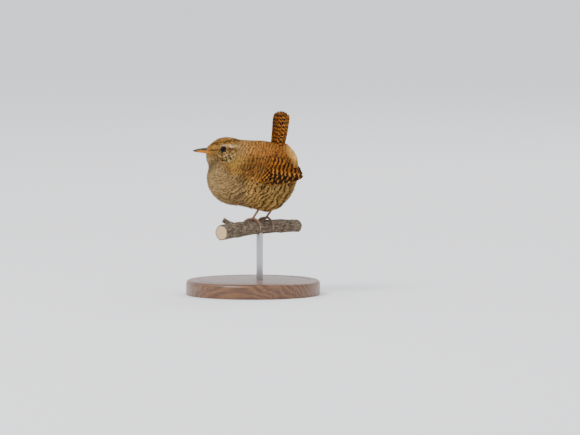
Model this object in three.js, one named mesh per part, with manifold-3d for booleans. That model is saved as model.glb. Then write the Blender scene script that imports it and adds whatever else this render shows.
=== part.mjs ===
// A still, life-size wren with its tail cocked, on a cut length of branch held by a small turned stand.
// Millimetres, +Z up, the floor at z = 0. The bird faces -X, and its left side faces -Y.
import * as THREE from "three";
import { mergeVertices } from "three/addons/utils/BufferGeometryUtils.js";
import Module from "manifold-3d";

const wasm = await Module();
wasm.setup();

// Driving sizes

const GAP = 0.3;
const DEGREE = Math.PI / 180;
const BASE = { radius: 45, height: 10, bevel: 2.4, socket: 5, groove: { radius: 37.6, half: 1, depth: 0.8 } };
const ROD = { radius: 2.2, sunk: 3.2 };
const PERCH = { radius: 4.6, taper: 0.5, length: 82, turn: 26 * DEGREE, bow: 1.6, top: 50, relief: 0.16 };
const STUB = { along: 0.24, radius: 1.7, length: 8.5, rise: 38 * DEGREE, side: -48 * DEGREE };
const FEET_X = 4.5;
const BODY = { x: 3, z: PERCH.top, blend: 5 };
const HEAD = { turn: 7 * DEGREE, pivot: [-14, 0, 44], blend: 3.2 };
const GRID = { head: 1.7, torso: 3, clearance: 3.4 };

// The masses of the plumage, each an ellipsoid, measured from the perch's top below the body's middle.
const TRUNK_MASSES = [
  { name: "torso", at: [1, 0, 31.8], half: [26.4, 19.4, 21.8] },
  { name: "breast", at: [-15.6, 0, 27.8], half: [19, 17.2, 18] },
  { name: "belly", at: [4, 0, 20.8], half: [18.4, 16.6, 13.8] },
  { name: "neck", at: [-13.6, 0, 40.6], half: [14, 12.2, 12] },
  { name: "rump", at: [15.4, 0, 40], half: [10.8, 10.4, 9.4] },
  { name: "tail root", at: [16.4, 0, 45.4], half: [5, 5.2, 5.6] },
  { name: "left thigh", at: [8.4, -8.2, 12.6], half: [6.4, 5, 6.2] },
  { name: "right thigh", at: [8.4, 8.2, 12.6], half: [6.4, 5, 6.2] },
];
const HEAD_MASSES = [
  { name: "skull", at: [-21.4, 0, 46.8], half: [11.2, 8.2, 8.4] },
  { name: "face", at: [-29.8, 0, 46.4], half: [5.6, 3.5, 3.6] },
  { name: "throat", at: [-28.2, 0, 41.4], half: [6.6, 5.4, 5.4] },
  { name: "left cheek", at: [-19.6, -3.4, 43.8], half: [7, 5.4, 5.8] },
  { name: "right cheek", at: [-19.6, 3.4, 43.8], half: [7, 5.4, 5.8] },
];

const HEAD_CUT = { through: [-21, 0, 42.4], lean: 31 * DEGREE };
const NECK_LENGTH = 6.5;

const BILL = {
  base: [-34.4, 0, 46.2],
  length: 9.4,
  halfWidth: 2.15,
  upper: 1.4,
  lower: 1.55,
  tip: 0.2,
  decurve: 0.6,
  lift: 1.5 * DEGREE,
};
const NOSTRIL = { back: 7.4, side: 1.45, up: 0.62, half: [1.1, 0.5, 0.3] };
const MOUTH = { corner: -30.4, halfWidth: 5, halfHeight: 0.2 };
const EYE = { x: -22.4, z: 47.9, ball: 2.4, deep: 1.5, opening: 1.9, lid: 0.34 };

const WING = {
  bend: [-11, 37],
  tip: [34.2, 30.3],
  bed: { middle: 31, height: 27, width: 20.8, fall: 0.051, power: 1.6 },
  thickness: 0.55,
  rightReach: 0.9,
};
const TAIL = {
  root: [9.4, 0, 43],
  lean: 4 * DEGREE,
  roof: 47 * DEGREE,
  pairs: 6,
  length: 30.6,
  longest: 2.1,
  graduation: 0.28,
  halfWidth: 2.35,
  thickness: 0.55,
};
const LEG = { stance: 6.6, lean: 34 * DEGREE, radius: 0.72, length: 13 };
const TOE = { radius: 0.78, claw: 4.6, thin: 0.62, together: 0.24 };

const COLOUR = {
  back: 0x7d5632,
  breast: 0xa08763,
  bars: 0x5f3d20,
  bill: 0x5a4230,
  gape: 0xc08a3c,
  eye: 0x0c0a09,
  leg: 0x9a7458,
  bark: 0x6f6250,
  wood: 0x6b4a2e,
  steel: 0x8d8f92,
};

// Where a vane has its rows of points: few along it and closer at its round tip.
const VANE_ROWS = [0, 0.45, 0.82, 1];

// Closed meshes

function vertexOf(mesh) {
  const geometry = new THREE.BufferGeometry();
  geometry.setAttribute("position", new THREE.Float32BufferAttribute(mesh.points.flat(), 3));
  geometry.setIndex(mesh.faces.flat());
  return geometry;
}

// A three.js geometry as a manifold solid, its shared vertices merged.
function solidOf(geometry) {
  const bare = geometry.index ? geometry.toNonIndexed() : geometry.clone();
  for (const name of Object.keys(bare.attributes)) {
    if (name !== "position") bare.deleteAttribute(name);
  }
  const merged = mergeVertices(bare, 1e-4);
  return new wasm.Manifold(
    new wasm.Mesh({
      numProp: 3,
      vertProperties: merged.attributes.position.array,
      triVerts: new Uint32Array(merged.index.array),
    }),
  );
}

// A solid from loose points and faces, which are turned over where they face inward.
function closedSolid(points, faces) {
  const solid = solidOf(vertexOf({ points, faces }));
  if (solid.volume() > 0) return solid;
  return solidOf(vertexOf({ points, faces: faces.map(([a, b, c]) => [a, c, b]) }));
}

// Only the largest closed surface of a solid, so that a scrap or a sealed hollow goes.
function largest(solid) {
  const shells = solid.decompose().sort((a, b) => b.volume() - a.volume());
  return shells[0];
}

function geometryOf(solid) {
  const mesh = solid.getMesh();
  const points = [];
  for (let i = 0; i < mesh.numVert; i++) {
    points.push([0, 1, 2].map((axis) => mesh.vertProperties[i * mesh.numProp + axis]));
  }
  const geometry = new THREE.BufferGeometry();
  geometry.setAttribute("position", new THREE.Float32BufferAttribute(points.flat(), 3));
  geometry.setIndex(Array.from(mesh.triVerts));
  return geometry;
}

function unionOf(solids) {
  return wasm.Manifold.union(solids);
}

// A vane: a thin sheet given by its outer and inner points at some shares of its length.
function sheet(shares, across, pointAt) {
  const along = shares.length - 1;
  const row = across + 1;
  const side = (along + 1) * row;
  const points = [];
  for (const face of [1, -1]) {
    for (let i = 0; i <= along; i++) {
      for (let j = 0; j <= across; j++) points.push(pointAt(shares[i], (2 * j) / across - 1, face));
    }
  }
  const faces = [];
  const at = (i, j) => i * row + j;
  for (let i = 0; i < along; i++) {
    for (let j = 0; j < across; j++) {
      const [a, b, c, d] = [at(i, j), at(i, j + 1), at(i + 1, j + 1), at(i + 1, j)];
      faces.push([a, b, c], [a, c, d], [side + a, side + c, side + b], [side + a, side + d, side + c]);
    }
  }
  const rim = [];
  for (let j = 0; j < across; j++) rim.push(at(0, j));
  for (let i = 0; i < along; i++) rim.push(at(i, across));
  for (let j = across; j > 0; j--) rim.push(at(along, j));
  for (let i = along; i > 0; i--) rim.push(at(i, 0));
  rim.forEach((a, n) => {
    const b = rim[(n + 1) % rim.length];
    faces.push([a, side + a, side + b], [a, side + b, b]);
  });
  return closedSolid(points, faces);
}

// A round tube along a curve. Its radius is a function of the share of its length and of the angle.
function tube(curve, radiusAt, steps, sides, up = new THREE.Vector3(0, 0, 1)) {
  const points = [];
  const faces = [];
  for (let i = 0; i <= steps; i++) {
    const share = i / steps;
    const centre = curve.getPoint(share);
    const tangent = curve.getTangent(share);
    const side = new THREE.Vector3().crossVectors(up, tangent).normalize();
    const top = new THREE.Vector3().crossVectors(tangent, side);
    for (let j = 0; j < sides; j++) {
      const angle = (2 * Math.PI * j) / sides;
      const r = radiusAt(share, angle);
      const point = centre
        .clone()
        .addScaledVector(side, r * Math.sin(angle))
        .addScaledVector(top, r * Math.cos(angle));
      points.push(point.toArray());
    }
  }
  const [first, last] = [points.length, points.length + 1];
  points.push(curve.getPoint(0).toArray(), curve.getPoint(1).toArray());
  for (let j = 0; j < sides; j++) {
    const next = (j + 1) % sides;
    for (let i = 0; i < steps; i++) {
      const [a, b, c, d] = [i * sides + j, i * sides + next, (i + 1) * sides + next, (i + 1) * sides + j];
      faces.push([a, b, c], [a, c, d]);
    }
    faces.push([first, next, j], [last, steps * sides + j, steps * sides + next]);
  }
  return closedSolid(points, faces);
}

function arcOf(points) {
  return new THREE.CatmullRomCurve3(points.map((p) => new THREE.Vector3(...p)));
}

function lathe(profile, sides) {
  const turned = new THREE.LatheGeometry(profile.map(([r, z]) => new THREE.Vector2(r, z)), sides);
  turned.rotateX(Math.PI / 2);
  return solidOf(turned);
}

function cylinder(radius, from, to, sides = 20) {
  const span = new THREE.Vector3().subVectors(to, from);
  const made = new THREE.CylinderGeometry(radius, radius, span.length(), sides);
  const own = new THREE.Vector3(0, 1, 0);
  made.applyQuaternion(new THREE.Quaternion().setFromUnitVectors(own, span.clone().normalize()));
  made.translate(...from.clone().addScaledVector(span, 0.5).toArray());
  return solidOf(made);
}

function ellipsoid(at, half, rings = 10, turn = 0) {
  const made = new THREE.SphereGeometry(1, 2 * rings, rings);
  made.scale(...half);
  made.rotateZ(turn);
  made.translate(...at);
  return solidOf(made);
}

// The plumage as a field: below zero inside, above zero outside, near enough in millimetres.

function toEllipsoid([x, y, z], { at, half }) {
  const [qx, qy, qz] = [(x - at[0]) / half[0], (y - at[1]) / half[1], (z - at[2]) / half[2]];
  const inner = Math.sqrt(qx * qx + qy * qy + qz * qz);
  const slope = Math.sqrt((qx / half[0]) ** 2 + (qy / half[1]) ** 2 + (qz / half[2]) ** 2);
  return slope === 0 ? -Math.min(...half) : (inner * (inner - 1)) / slope;
}

function melt(a, b, reach) {
  if (Math.abs(a - b) >= reach) return Math.min(a, b);
  const h = 1 - Math.abs(a - b) / reach;
  return Math.min(a, b) - (h * h * reach) / 4;
}

function turned([x, y, z], angle) {
  const [px, py] = HEAD.pivot;
  const [dx, dy] = [x - px, y - py];
  const [cosine, sine] = [Math.cos(angle), Math.sin(angle)];
  return [px + dx * cosine - dy * sine, py + dx * sine + dy * cosine, z];
}

// From the plumage's own measures to the part's frame, and back.
const placed = ([x, y, z]) => [x + BODY.x, y, z + BODY.z];
const unplaced = ([x, y, z]) => [x - BODY.x, y, z - BODY.z];
const placedHead = (p) => placed(turned(p, HEAD.turn));

function meltAll(masses, p, reach) {
  let least = Infinity;
  for (const mass of masses) least = melt(least, toEllipsoid(p, mass), reach);
  return least;
}

function plumage(p) {
  const own = unplaced(p);
  const trunk = meltAll(TRUNK_MASSES, own, BODY.blend);
  const head = meltAll(HEAD_MASSES, turned(own, -HEAD.turn), HEAD.blend);
  return melt(trunk, head, BODY.blend);
}

function slopeOf(field, p) {
  const h = 0.02;
  return [0, 1, 2].map((axis) => {
    const step = (sign) => p.map((v, i) => (i === axis ? v + sign * h : v));
    return (field(step(1)) - field(step(-1))) / (2 * h);
  });
}

// Where the line from a point in a direction leaves the field's zero.
function surfaceFrom(field, from, direction) {
  let [near, far] = [0, 60];
  for (let n = 0; n < 40; n++) {
    const middle = (near + far) / 2;
    const p = from.map((v, i) => v + direction[i] * middle);
    if (field(p) < 0) near = middle;
    else far = middle;
  }
  return from.map((v, i) => v + direction[i] * near);
}

// A closed mesh of a field's zero: one vertex in each cell that it crosses, one square for each grid edge.
function skinOf(field, low, high, step) {
  const count = low.map((v, i) => Math.ceil((high[i] - v) / step) + 1);
  const index = (i, j, k) => (k * count[1] + j) * count[0] + i;
  const place = (i, j, k) => [low[0] + i * step, low[1] + j * step, low[2] + k * step];
  const value = new Float32Array(count[0] * count[1] * count[2]);
  const eachCell = (visit) => {
    for (let k = 0; k < count[2]; k++)
      for (let j = 0; j < count[1]; j++) for (let i = 0; i < count[0]; i++) visit(i, j, k);
  };
  eachCell((i, j, k) => {
    const onEdge = [i, j, k].some((v, axis) => v === 0 || v === count[axis] - 1);
    value[index(i, j, k)] = onEdge ? step : field(place(i, j, k));
  });
  const corners = [0, 1, 2, 3, 4, 5, 6, 7].map((n) => [n & 1, (n >> 1) & 1, n >> 2]);
  const points = [];
  const cellPoint = new Int32Array(value.length).fill(-1);
  eachCell((i, j, k) => {
    if (i + 1 >= count[0] || j + 1 >= count[1] || k + 1 >= count[2]) return;
    const inside = corners.filter(([a, b, c]) => value[index(i + a, j + b, k + c)] < 0).length;
    if (inside === 0 || inside === 8) return;
    const middle = place(i + 0.5, j + 0.5, k + 0.5);
    let p = middle;
    for (let n = 0; n < 4; n++) {
      const slope = slopeOf(field, p);
      const length2 = Math.max(slope[0] ** 2 + slope[1] ** 2 + slope[2] ** 2, 0.3);
      const off = field(p);
      p = p.map((v, axis) => {
        const moved = v - (off * slope[axis]) / length2;
        return Math.min(Math.max(moved, middle[axis] - step / 2), middle[axis] + step / 2);
      });
    }
    cellPoint[index(i, j, k)] = points.length;
    points.push(p);
  });
  const faces = [];
  const round = [
    [[0, 0, 0], [0, -1, 0], [0, -1, -1], [0, 0, -1]],
    [[0, 0, 0], [0, 0, -1], [-1, 0, -1], [-1, 0, 0]],
    [[0, 0, 0], [-1, 0, 0], [-1, -1, 0], [0, -1, 0]],
  ];
  eachCell((i, j, k) => {
    for (let axis = 0; axis < 3; axis++) {
      const next = [i, j, k].map((v, n) => (n === axis ? v + 1 : v));
      if (next.some((v, n) => v >= count[n])) continue;
      const [a, b] = [value[index(i, j, k)] < 0, value[index(...next)] < 0];
      if (a === b) continue;
      const ring = round[axis].map(([x, y, z]) => cellPoint[index(i + x, j + y, k + z)]);
      if (!a) ring.reverse();
      faces.push([ring[0], ring[1], ring[2]], [ring[0], ring[2], ring[3]]);
    }
  });
  return closedSolid(points, faces);
}

const BIRD_LOW = placed([-38, -25, 2]);
const BIRD_HIGH = placed([32, 25, 60]);
const clearOfBird = skinOf((p) => plumage(p) - GAP, BIRD_LOW, BIRD_HIGH, GRID.clearance);

// Head, neck and torso: one body parted by two thin cuts

function cutPlane(offset) {
  const normal = new THREE.Vector3(-Math.sin(HEAD_CUT.lean), 0, Math.cos(HEAD_CUT.lean));
  const through = new THREE.Vector3(...placed(HEAD_CUT.through)).addScaledVector(normal, offset);
  return [normal.toArray(), normal.dot(through)];
}

function keepAbove(solid, offset) {
  const [normal, distance] = cutPlane(offset);
  return solid.trimByPlane(normal, distance);
}

function keepBelow(solid, offset) {
  const [normal, distance] = cutPlane(offset);
  return solid.trimByPlane(normal.map((v) => -v), -distance);
}

function makeTrunk() {
  const whole = skinOf(plumage, BIRD_LOW, BIRD_HIGH, GRID.torso);
  return {
    neck: largest(keepAbove(keepBelow(whole, -GAP / 2), -NECK_LENGTH)),
    torso: largest(keepBelow(whole, -NECK_LENGTH - GAP)),
  };
}

// Eyes and lids

function eyeFrame(side) {
  const inside = placedHead([EYE.x, 0, EYE.z]);
  const outward = turned([HEAD.pivot[0], HEAD.pivot[1] + side, 0], HEAD.turn);
  const direction = [outward[0] - HEAD.pivot[0], outward[1] - HEAD.pivot[1], 0];
  const surface = surfaceFrom(plumage, inside, direction);
  const slope = new THREE.Vector3(...slopeOf(plumage, surface)).normalize();
  const centre = new THREE.Vector3(...surface).addScaledVector(slope, -EYE.deep);
  return { surface: new THREE.Vector3(...surface), normal: slope, centre };
}

function makeEye(side) {
  const { centre } = eyeFrame(side);
  return ellipsoid(centre.toArray(), [EYE.ball, EYE.ball, EYE.ball], 8);
}

function makeLids(side) {
  const { surface, normal } = eyeFrame(side);
  const ring = new THREE.TorusGeometry(EYE.opening + EYE.lid, EYE.lid * 1.35, 5, 16);
  ring.scale(1, 0.94, 1);
  ring.applyQuaternion(new THREE.Quaternion().setFromUnitVectors(new THREE.Vector3(0, 0, 1), normal));
  ring.translate(...surface.clone().addScaledVector(normal, -0.1).toArray());
  return solidOf(ring);
}

function makeHead() {
  const fine = keepAbove(skinOf(plumage, placed([-38, -17, 24]), placed([2, 17, 60]), GRID.head), GAP / 2);
  const sockets = [-1, 1].map((side) => {
    const { centre } = eyeFrame(side);
    const reach = EYE.ball + GAP;
    return ellipsoid(centre.toArray(), [reach, reach, reach], 8);
  });
  const lidded = unionOf([fine, makeLids(-1), makeLids(1)]);
  return largest(lidded.subtract(unionOf([...sockets, billRoom(), mouthLine()])));
}

// The bill: two half-round horns that meet along the line of the mouth

function billPoint(share, across, up) {
  const along = BILL.length * share;
  const drop = BILL.decurve * share * share;
  const rise = along * Math.sin(BILL.lift);
  return placedHead([BILL.base[0] - along, BILL.base[1] + across, BILL.base[2] + up - drop + rise]);
}

function billHorn(height, grow = 0, back = 0.32) {
  const steps = 12;
  const sides = 9;
  const points = [];
  for (let i = 0; i <= steps; i++) {
    const share = -back + (1 + back) * (i / steps);
    const taper = Math.max(1 - Math.max(share, 0) ** 1.25, 0);
    const swell = 1 + 0.35 * Math.max(-share, 0);
    const halfWidth = BILL.tip + (BILL.halfWidth - BILL.tip) * taper ** 1.15 * swell + grow;
    const tall = Math.sign(height) * (BILL.tip + (Math.abs(height) - BILL.tip) * taper ** 0.9 + 2 * grow);
    for (let j = 0; j < sides; j++) {
      const angle = (Math.PI * j) / (sides - 1);
      const seam = (Math.sign(height) * GAP) / 2 - Math.sign(height) * grow;
      points.push(billPoint(share, halfWidth * Math.cos(angle), seam + tall * Math.sin(angle)));
    }
  }
  const faces = [];
  const at = (i, j) => i * sides + (j % sides);
  for (let i = 0; i < steps; i++) {
    for (let j = 0; j < sides; j++) {
      const [a, b, c, d] = [at(i, j), at(i, j + 1), at(i + 1, j + 1), at(i + 1, j)];
      faces.push([a, b, c], [a, c, d]);
    }
  }
  for (let j = 1; j + 1 < sides; j++) {
    faces.push([at(0, 0), at(0, j + 1), at(0, j)], [at(steps, 0), at(steps, j), at(steps, j + 1)]);
  }
  return closedSolid(points, faces);
}

// The room that the bill's root takes in the face.
function billRoom() {
  return unionOf([billHorn(BILL.upper, GAP, 0.36), billHorn(-BILL.lower, GAP, 0.36)]);
}

// The line of the mouth, from the bill's root back to its corner in the feathers of the face.
function mouthLine() {
  const [front, , z] = BILL.base;
  const long = MOUTH.corner - front;
  return ellipsoid(placedHead([front, 0, z]), [long, MOUTH.halfWidth, MOUTH.halfHeight], 5, HEAD.turn);
}

function makeUpperBill() {
  const nostrils = [-1, 1].map((side) => {
    const share = 1 - NOSTRIL.back / BILL.length;
    return ellipsoid(billPoint(share, side * NOSTRIL.side, NOSTRIL.up), NOSTRIL.half, 4);
  });
  return largest(billHorn(BILL.upper).subtract(unionOf(nostrils)));
}

// The folded wing: vanes in tiers over a bed that follows the body's side

function bedWidth(x, z) {
  const { middle, height, width, fall, power } = WING.bed;
  const bulge = Math.sqrt(1 - ((z - middle) / height) ** 2);
  return (width - fall * Math.abs(x) ** power) * bulge;
}

function bedPoint(x, z, lift) {
  const step = 0.05;
  const slopeX = (bedWidth(x + step, z) - bedWidth(x - step, z)) / (2 * step);
  const slopeZ = (bedWidth(x, z + step) - bedWidth(x, z - step)) / (2 * step);
  const normal = new THREE.Vector3(-slopeX, 1, -slopeZ).normalize();
  return [x + normal.x * lift, bedWidth(x, z) + normal.y * lift, z + normal.z * lift];
}

const WING_SPAN = Math.hypot(WING.tip[0] - WING.bend[0], WING.tip[1] - WING.bend[1]);

// A point of the wing from its place along the wing's line, above that line, and out from the bed.
// The right wing is folded closer, so that its tip ends ahead of the left one's.
function wingPoint(along, above, lift, side) {
  const line = [0, 1].map((i) => (WING.tip[i] - WING.bend[i]) / WING_SPAN);
  const reach = along * (side > 0 ? WING.rightReach : 1);
  const x = WING.bend[0] + reach * line[0] - above * line[1];
  const z = WING.bend[1] + reach * line[1] + above * line[0];
  const [px, py, pz] = bedPoint(x, z, lift);
  return placed([px, side * py, pz]);
}

// Half the width of a feather at a share of its length, as a part of its widest.
function outline(share, tipShare = 0.22) {
  const root = Math.min(1, 0.45 + 1.6 * share);
  const past = Math.max(share - 1 + tipShare, 0) / tipShare;
  return root * Math.sqrt(Math.max(1 - past ** 2, 0.06));
}

function wingVane({ root, tip, halfWidth, lift, tilt = 0.3, droop = 0.8, thick = WING.thickness }, side) {
  return sheet(VANE_ROWS, 1, (share, across, face) => {
    const curve = droop * 4 * share * (1 - share);
    const along = root[0] + (tip[0] - root[0]) * share;
    const above = root[1] + (tip[1] - root[1]) * share + curve + across * halfWidth * outline(share);
    const crown = 0.18 * (1 - across * across);
    const height = lift - tilt * across + crown + (face * thick * (1 - 0.35 * share)) / 2;
    return wingPoint(along, above, height, side);
  });
}

function tier(count, featherAt) {
  return Array.from({ length: count }, (_, i) => featherAt(count > 1 ? i / (count - 1) : 0, i));
}

function evenly(steps) {
  return Array.from({ length: steps + 1 }, (_, i) => i / steps);
}

function mixed(a, b, share) {
  return a + (b - a) * share;
}

function wingFeathers() {
  const primaries = tier(7, (t) => ({
    root: [mixed(13, 8, t), mixed(0.2, -5, t)],
    tip: [44.3 - 13.5 * t ** 1.7, -0.4 - 6 * t ** 0.9],
    halfWidth: 1.25,
    lift: mixed(0.6, 0.1, t),
    droop: mixed(-0.5, -1.2, t),
  }));
  const secondaries = tier(3, (t) => ({
    root: [9, mixed(3.6, 1.2, t)],
    tip: [mixed(42.4, 44, t), mixed(1.7, 0.2, t)],
    halfWidth: 1.5,
    lift: mixed(1.05, 0.8, t),
    droop: mixed(0.4, 0, t),
  }));
  const tertials = tier(3, (t) => ({
    root: [8, mixed(6.2, 4, t)],
    tip: [mixed(33, 42, t ** 0.75), mixed(7.4, 2.2, t ** 1.2)],
    halfWidth: mixed(2.5, 2.2, t),
    lift: mixed(1.7, 1.35, t),
    droop: mixed(0.4, 1.4, t),
  }));
  const greater = tier(6, (t) => ({
    root: [4, mixed(5.6, -4, t)],
    tip: [mixed(18.5, 21.5, Math.sin(t * Math.PI * 0.7)), mixed(6.6, -5.2, t)],
    halfWidth: 1.6,
    lift: mixed(2.1, 1.3, t),
    droop: mixed(0.8, -0.6, t),
  }));
  const primaryCoverts = tier(2, (t) => ({
    root: [8, mixed(-4, -5.6, t)],
    tip: [mixed(26.5, 23.5, t), mixed(-5, -6.4, t)],
    halfWidth: 1.3,
    lift: mixed(1, 0.7, t),
    droop: -0.6,
  }));
  const median = tier(5, (t) => ({
    root: [0.5, mixed(4.8, -3.6, t)],
    tip: [mixed(10.5, 13, Math.sin(t * Math.PI)), mixed(6, -4.6, t)],
    halfWidth: 1.6,
    lift: mixed(2.6, 1.9, t),
    droop: mixed(0.5, -0.5, t),
  }));
  return [...primaries, ...secondaries, ...tertials, ...greater, ...primaryCoverts, ...median];
}

// The flesh and small coverts under the tiers: it fills the space to the body's side.
function wingCore(side) {
  return sheet(evenly(7), 4, (share, across, face) => {
    const along = mixed(-2, 35.5, share);
    const half = 7.1 * Math.sqrt(Math.max(1 - (2 * share - 1) ** 4, 0.08)) * mixed(0.9, 0.8, share);
    const middle = mixed(0.1, 0.6, share);
    const outer = mixed(2, 0.4, share) * Math.cos(across * 1.2) - 2.4 * Math.max(1 - share / 0.2, 0);
    const inner = -mixed(5.5, 0.3, share ** 1.5);
    return wingPoint(along, middle + across * half, face > 0 ? outer : inner, side);
  });
}

function makeWing(side) {
  const vanes = wingFeathers().map((feather) => wingVane(feather, side));
  return largest(unionOf([wingCore(side), ...vanes]).subtract(clearOfBird));
}

// The cocked tail: six pairs of vanes under a ridge, each pair lower and further out than the last

function tailPoint(along, out, dorsal, side) {
  const lengthwise = new THREE.Vector3(Math.sin(TAIL.lean), 0, Math.cos(TAIL.lean));
  const outward = new THREE.Vector3(Math.sin(TAIL.roof), side * Math.cos(TAIL.roof), 0);
  const facing = new THREE.Vector3(-Math.cos(TAIL.roof), side * Math.sin(TAIL.roof), 0);
  return new THREE.Vector3(...placed(TAIL.root))
    .addScaledVector(lengthwise, along)
    .addScaledVector(outward, out)
    .addScaledVector(facing, dorsal)
    .toArray();
}

function tailVane(pair, side) {
  const splay = (0.8 + 1.25 * pair) * DEGREE;
  const rootOut = 0.9 + 1.15 * pair;
  const length = TAIL.length - TAIL.graduation * (pair - TAIL.longest) ** 2;
  const half = TAIL.halfWidth * mixed(1, 0.88, pair / (TAIL.pairs - 1));
  return sheet(VANE_ROWS, 2, (share, across, face) => {
    const along = length * share * Math.cos(splay);
    const out = rootOut + length * share * Math.sin(splay) + across * half * outline(share, 0.18);
    const arch = 0.3 * Math.sin(Math.PI * share);
    const crown = 0.16 * (1 - across * across);
    const thick = TAIL.thickness * (1 - 0.3 * share);
    const dorsal = -0.3 * pair + 0.26 * across + crown - arch + (face * thick) / 2;
    return tailPoint(along, out, dorsal, side);
  });
}

function makeTail() {
  const vanes = [-1, 1].flatMap((side) => tier(TAIL.pairs, (t, pair) => tailVane(pair, side)));
  const spine = cylinder(
    0.9,
    new THREE.Vector3(...tailPoint(1, 0, -0.4, 1)),
    new THREE.Vector3(...tailPoint(TAIL.length * 0.55, 0, -0.4, 1)),
    6,
  );
  return largest(unionOf([spine, ...vanes]).subtract(clearOfBird));
}

// The perch, its line crossing under the feet

const PERCH_LINE = new THREE.Vector3(Math.sin(PERCH.turn), Math.cos(PERCH.turn), 0);
const PERCH_ACROSS = new THREE.Vector3(-Math.cos(PERCH.turn), Math.sin(PERCH.turn), 0);
const PERCH_MIDDLE = new THREE.Vector3(FEET_X, 0, PERCH.top - PERCH.radius);

function perchCentre(along) {
  const share = (2 * along) / PERCH.length;
  return PERCH_MIDDLE.clone()
    .addScaledVector(PERCH_LINE, along)
    .add(new THREE.Vector3(0, 0, -PERCH.bow * share * share));
}

function barkRadius(share, angle) {
  const knot = (at, wide, high) => high * Math.exp(-(((share - at) / wide) ** 2));
  const ridges = Math.sin(5 * angle + 3 * Math.sin(7 * share)) + 0.7 * Math.sin(9 * angle - 17 * share);
  const broad = PERCH.radius + PERCH.taper * (0.5 - share) * 2;
  return broad + PERCH.relief * ridges * 0.7 + knot(0.78, 0.035, 0.35) + knot(0.2, 0.03, 0.3);
}

function makePerch() {
  const line = arcOf([-0.5, -0.25, 0, 0.25, 0.5].map((share) => perchCentre(share * PERCH.length).toArray()));
  const branch = tube(line, barkRadius, 26, 12);
  const start = perchCentre((STUB.along - 0.5) * PERCH.length);
  const out = PERCH_ACROSS.clone()
    .multiplyScalar(Math.cos(STUB.rise))
    .add(new THREE.Vector3(0, 0, Math.sin(STUB.rise)))
    .addScaledVector(PERCH_LINE, Math.sin(STUB.side))
    .normalize();
  const end = start.clone().addScaledVector(out, PERCH.radius + STUB.length);
  const stub = tube(
    arcOf([start, start.clone().lerp(end, 0.5), end].map((p) => p.toArray())),
    (share) => STUB.radius * (1.7 - 0.7 * Math.min(1, share * 1.6)),
    6,
    8,
    PERCH_LINE,
  );
  const foot = rodFoot();
  const drill = cylinder(ROD.radius + GAP, foot, new THREE.Vector3(foot.x, foot.y, rodTop() + GAP));
  return largest(unionOf([branch, stub]).subtract(drill));
}

// The stand

function rodFoot() {
  return new THREE.Vector3(PERCH_MIDDLE.x, PERCH_MIDDLE.y, BASE.height - BASE.socket);
}

function rodTop() {
  return PERCH_MIDDLE.z - PERCH.radius + ROD.sunk;
}

function makeRod() {
  return cylinder(ROD.radius, rodFoot(), new THREE.Vector3(PERCH_MIDDLE.x, PERCH_MIDDLE.y, rodTop()));
}

function makeBase() {
  const { radius, height, bevel, groove } = BASE;
  const disc = lathe(
    [
      [0, 0],
      [radius - 0.8, 0],
      [radius, 0.8],
      [radius, height - bevel],
      [radius - bevel * 0.55, height - bevel * 0.35],
      [radius - bevel * 1.3, height],
      [groove.radius + groove.half, height],
      [groove.radius, height - groove.depth],
      [groove.radius - groove.half, height],
      [0, height],
    ],
    48,
  );
  const foot = rodFoot();
  const socket = cylinder(
    ROD.radius + GAP,
    new THREE.Vector3(foot.x, foot.y, foot.z - GAP),
    new THREE.Vector3(foot.x, foot.y, BASE.height + 1),
  );
  return largest(disc.subtract(socket));
}

// Legs and feet: three toes forward and one back, closed round the perch

function footFrame(side) {
  const along = (side * LEG.stance) / Math.cos(PERCH.turn);
  const centre = perchCentre(along);
  return { centre, along };
}

function toeCurve({ side, spread, arc, from = -8, claw }) {
  const { centre } = footFrame(side);
  const ring = PERCH.radius + TOE.radius + 0.75;
  const point = (share, out) => {
    const angle = (from + (arc - from) * share) * DEGREE;
    const slide = spread * (TOE.together + (1 - TOE.together) * Math.min(share * 1.5, 1) ** 0.8);
    return centre
      .clone()
      .addScaledVector(PERCH_ACROSS, Math.sin(angle) * (ring + out))
      .add(new THREE.Vector3(0, 0, Math.cos(angle) * (ring + out)))
      .addScaledVector(PERCH_LINE, slide);
  };
  const onToe = [0, 0.2, 0.4, 0.6, 0.8, 1].map((share) => point(share, 0).toArray());
  const turnedBy = claw / ((arc - from) * DEGREE * ring);
  const clawPoint = (share) => point(1 + turnedBy * share, -0.35 * share * share).toArray();
  const onClaw = [0.25, 0.5, 0.75, 1].map(clawPoint);
  const clawFrom = onToe.length / (onToe.length + onClaw.length);
  return { curve: arcOf([...onToe, ...onClaw]), clawFrom };
}

function makeToe(toe) {
  const { curve, clawFrom } = toeCurve(toe);
  const pads = 3;
  const radius = (share) => {
    if (share > clawFrom) return mixed(TOE.thin, 0.12, (share - clawFrom) / (1 - clawFrom));
    const along = share / clawFrom;
    return TOE.radius * mixed(1, 0.82, along) * (1 + 0.1 * Math.cos(2 * Math.PI * pads * along));
  };
  return tube(curve, radius, 12, 6, PERCH_LINE);
}

function legLine(side) {
  const { centre } = footFrame(side);
  const knob = centre.clone().add(new THREE.Vector3(0, 0, PERCH.radius + TOE.radius + 0.9));
  const up = new THREE.Vector3(Math.sin(LEG.lean), side * 0.1, Math.cos(LEG.lean)).normalize();
  return { knob, up };
}

function makeFoot(side) {
  const toes = [
    { spread: -3.9, arc: 98, claw: TOE.claw },
    { spread: 0, arc: 116, claw: TOE.claw },
    { spread: 3.9, arc: 98, claw: TOE.claw },
    { spread: side * -0.4, arc: -84, claw: TOE.claw * 1.25, from: 8 },
  ].map((toe) => makeToe({ side, ...toe }));
  const { knob, up } = legLine(side);
  const ball = ellipsoid(knob.toArray(), [1.4, 1.4, 1.25], 6);
  const cut = up.dot(knob) + 0.55;
  return largest(unionOf([ball, ...toes]).trimByPlane(up.clone().negate().toArray(), -cut));
}

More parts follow.
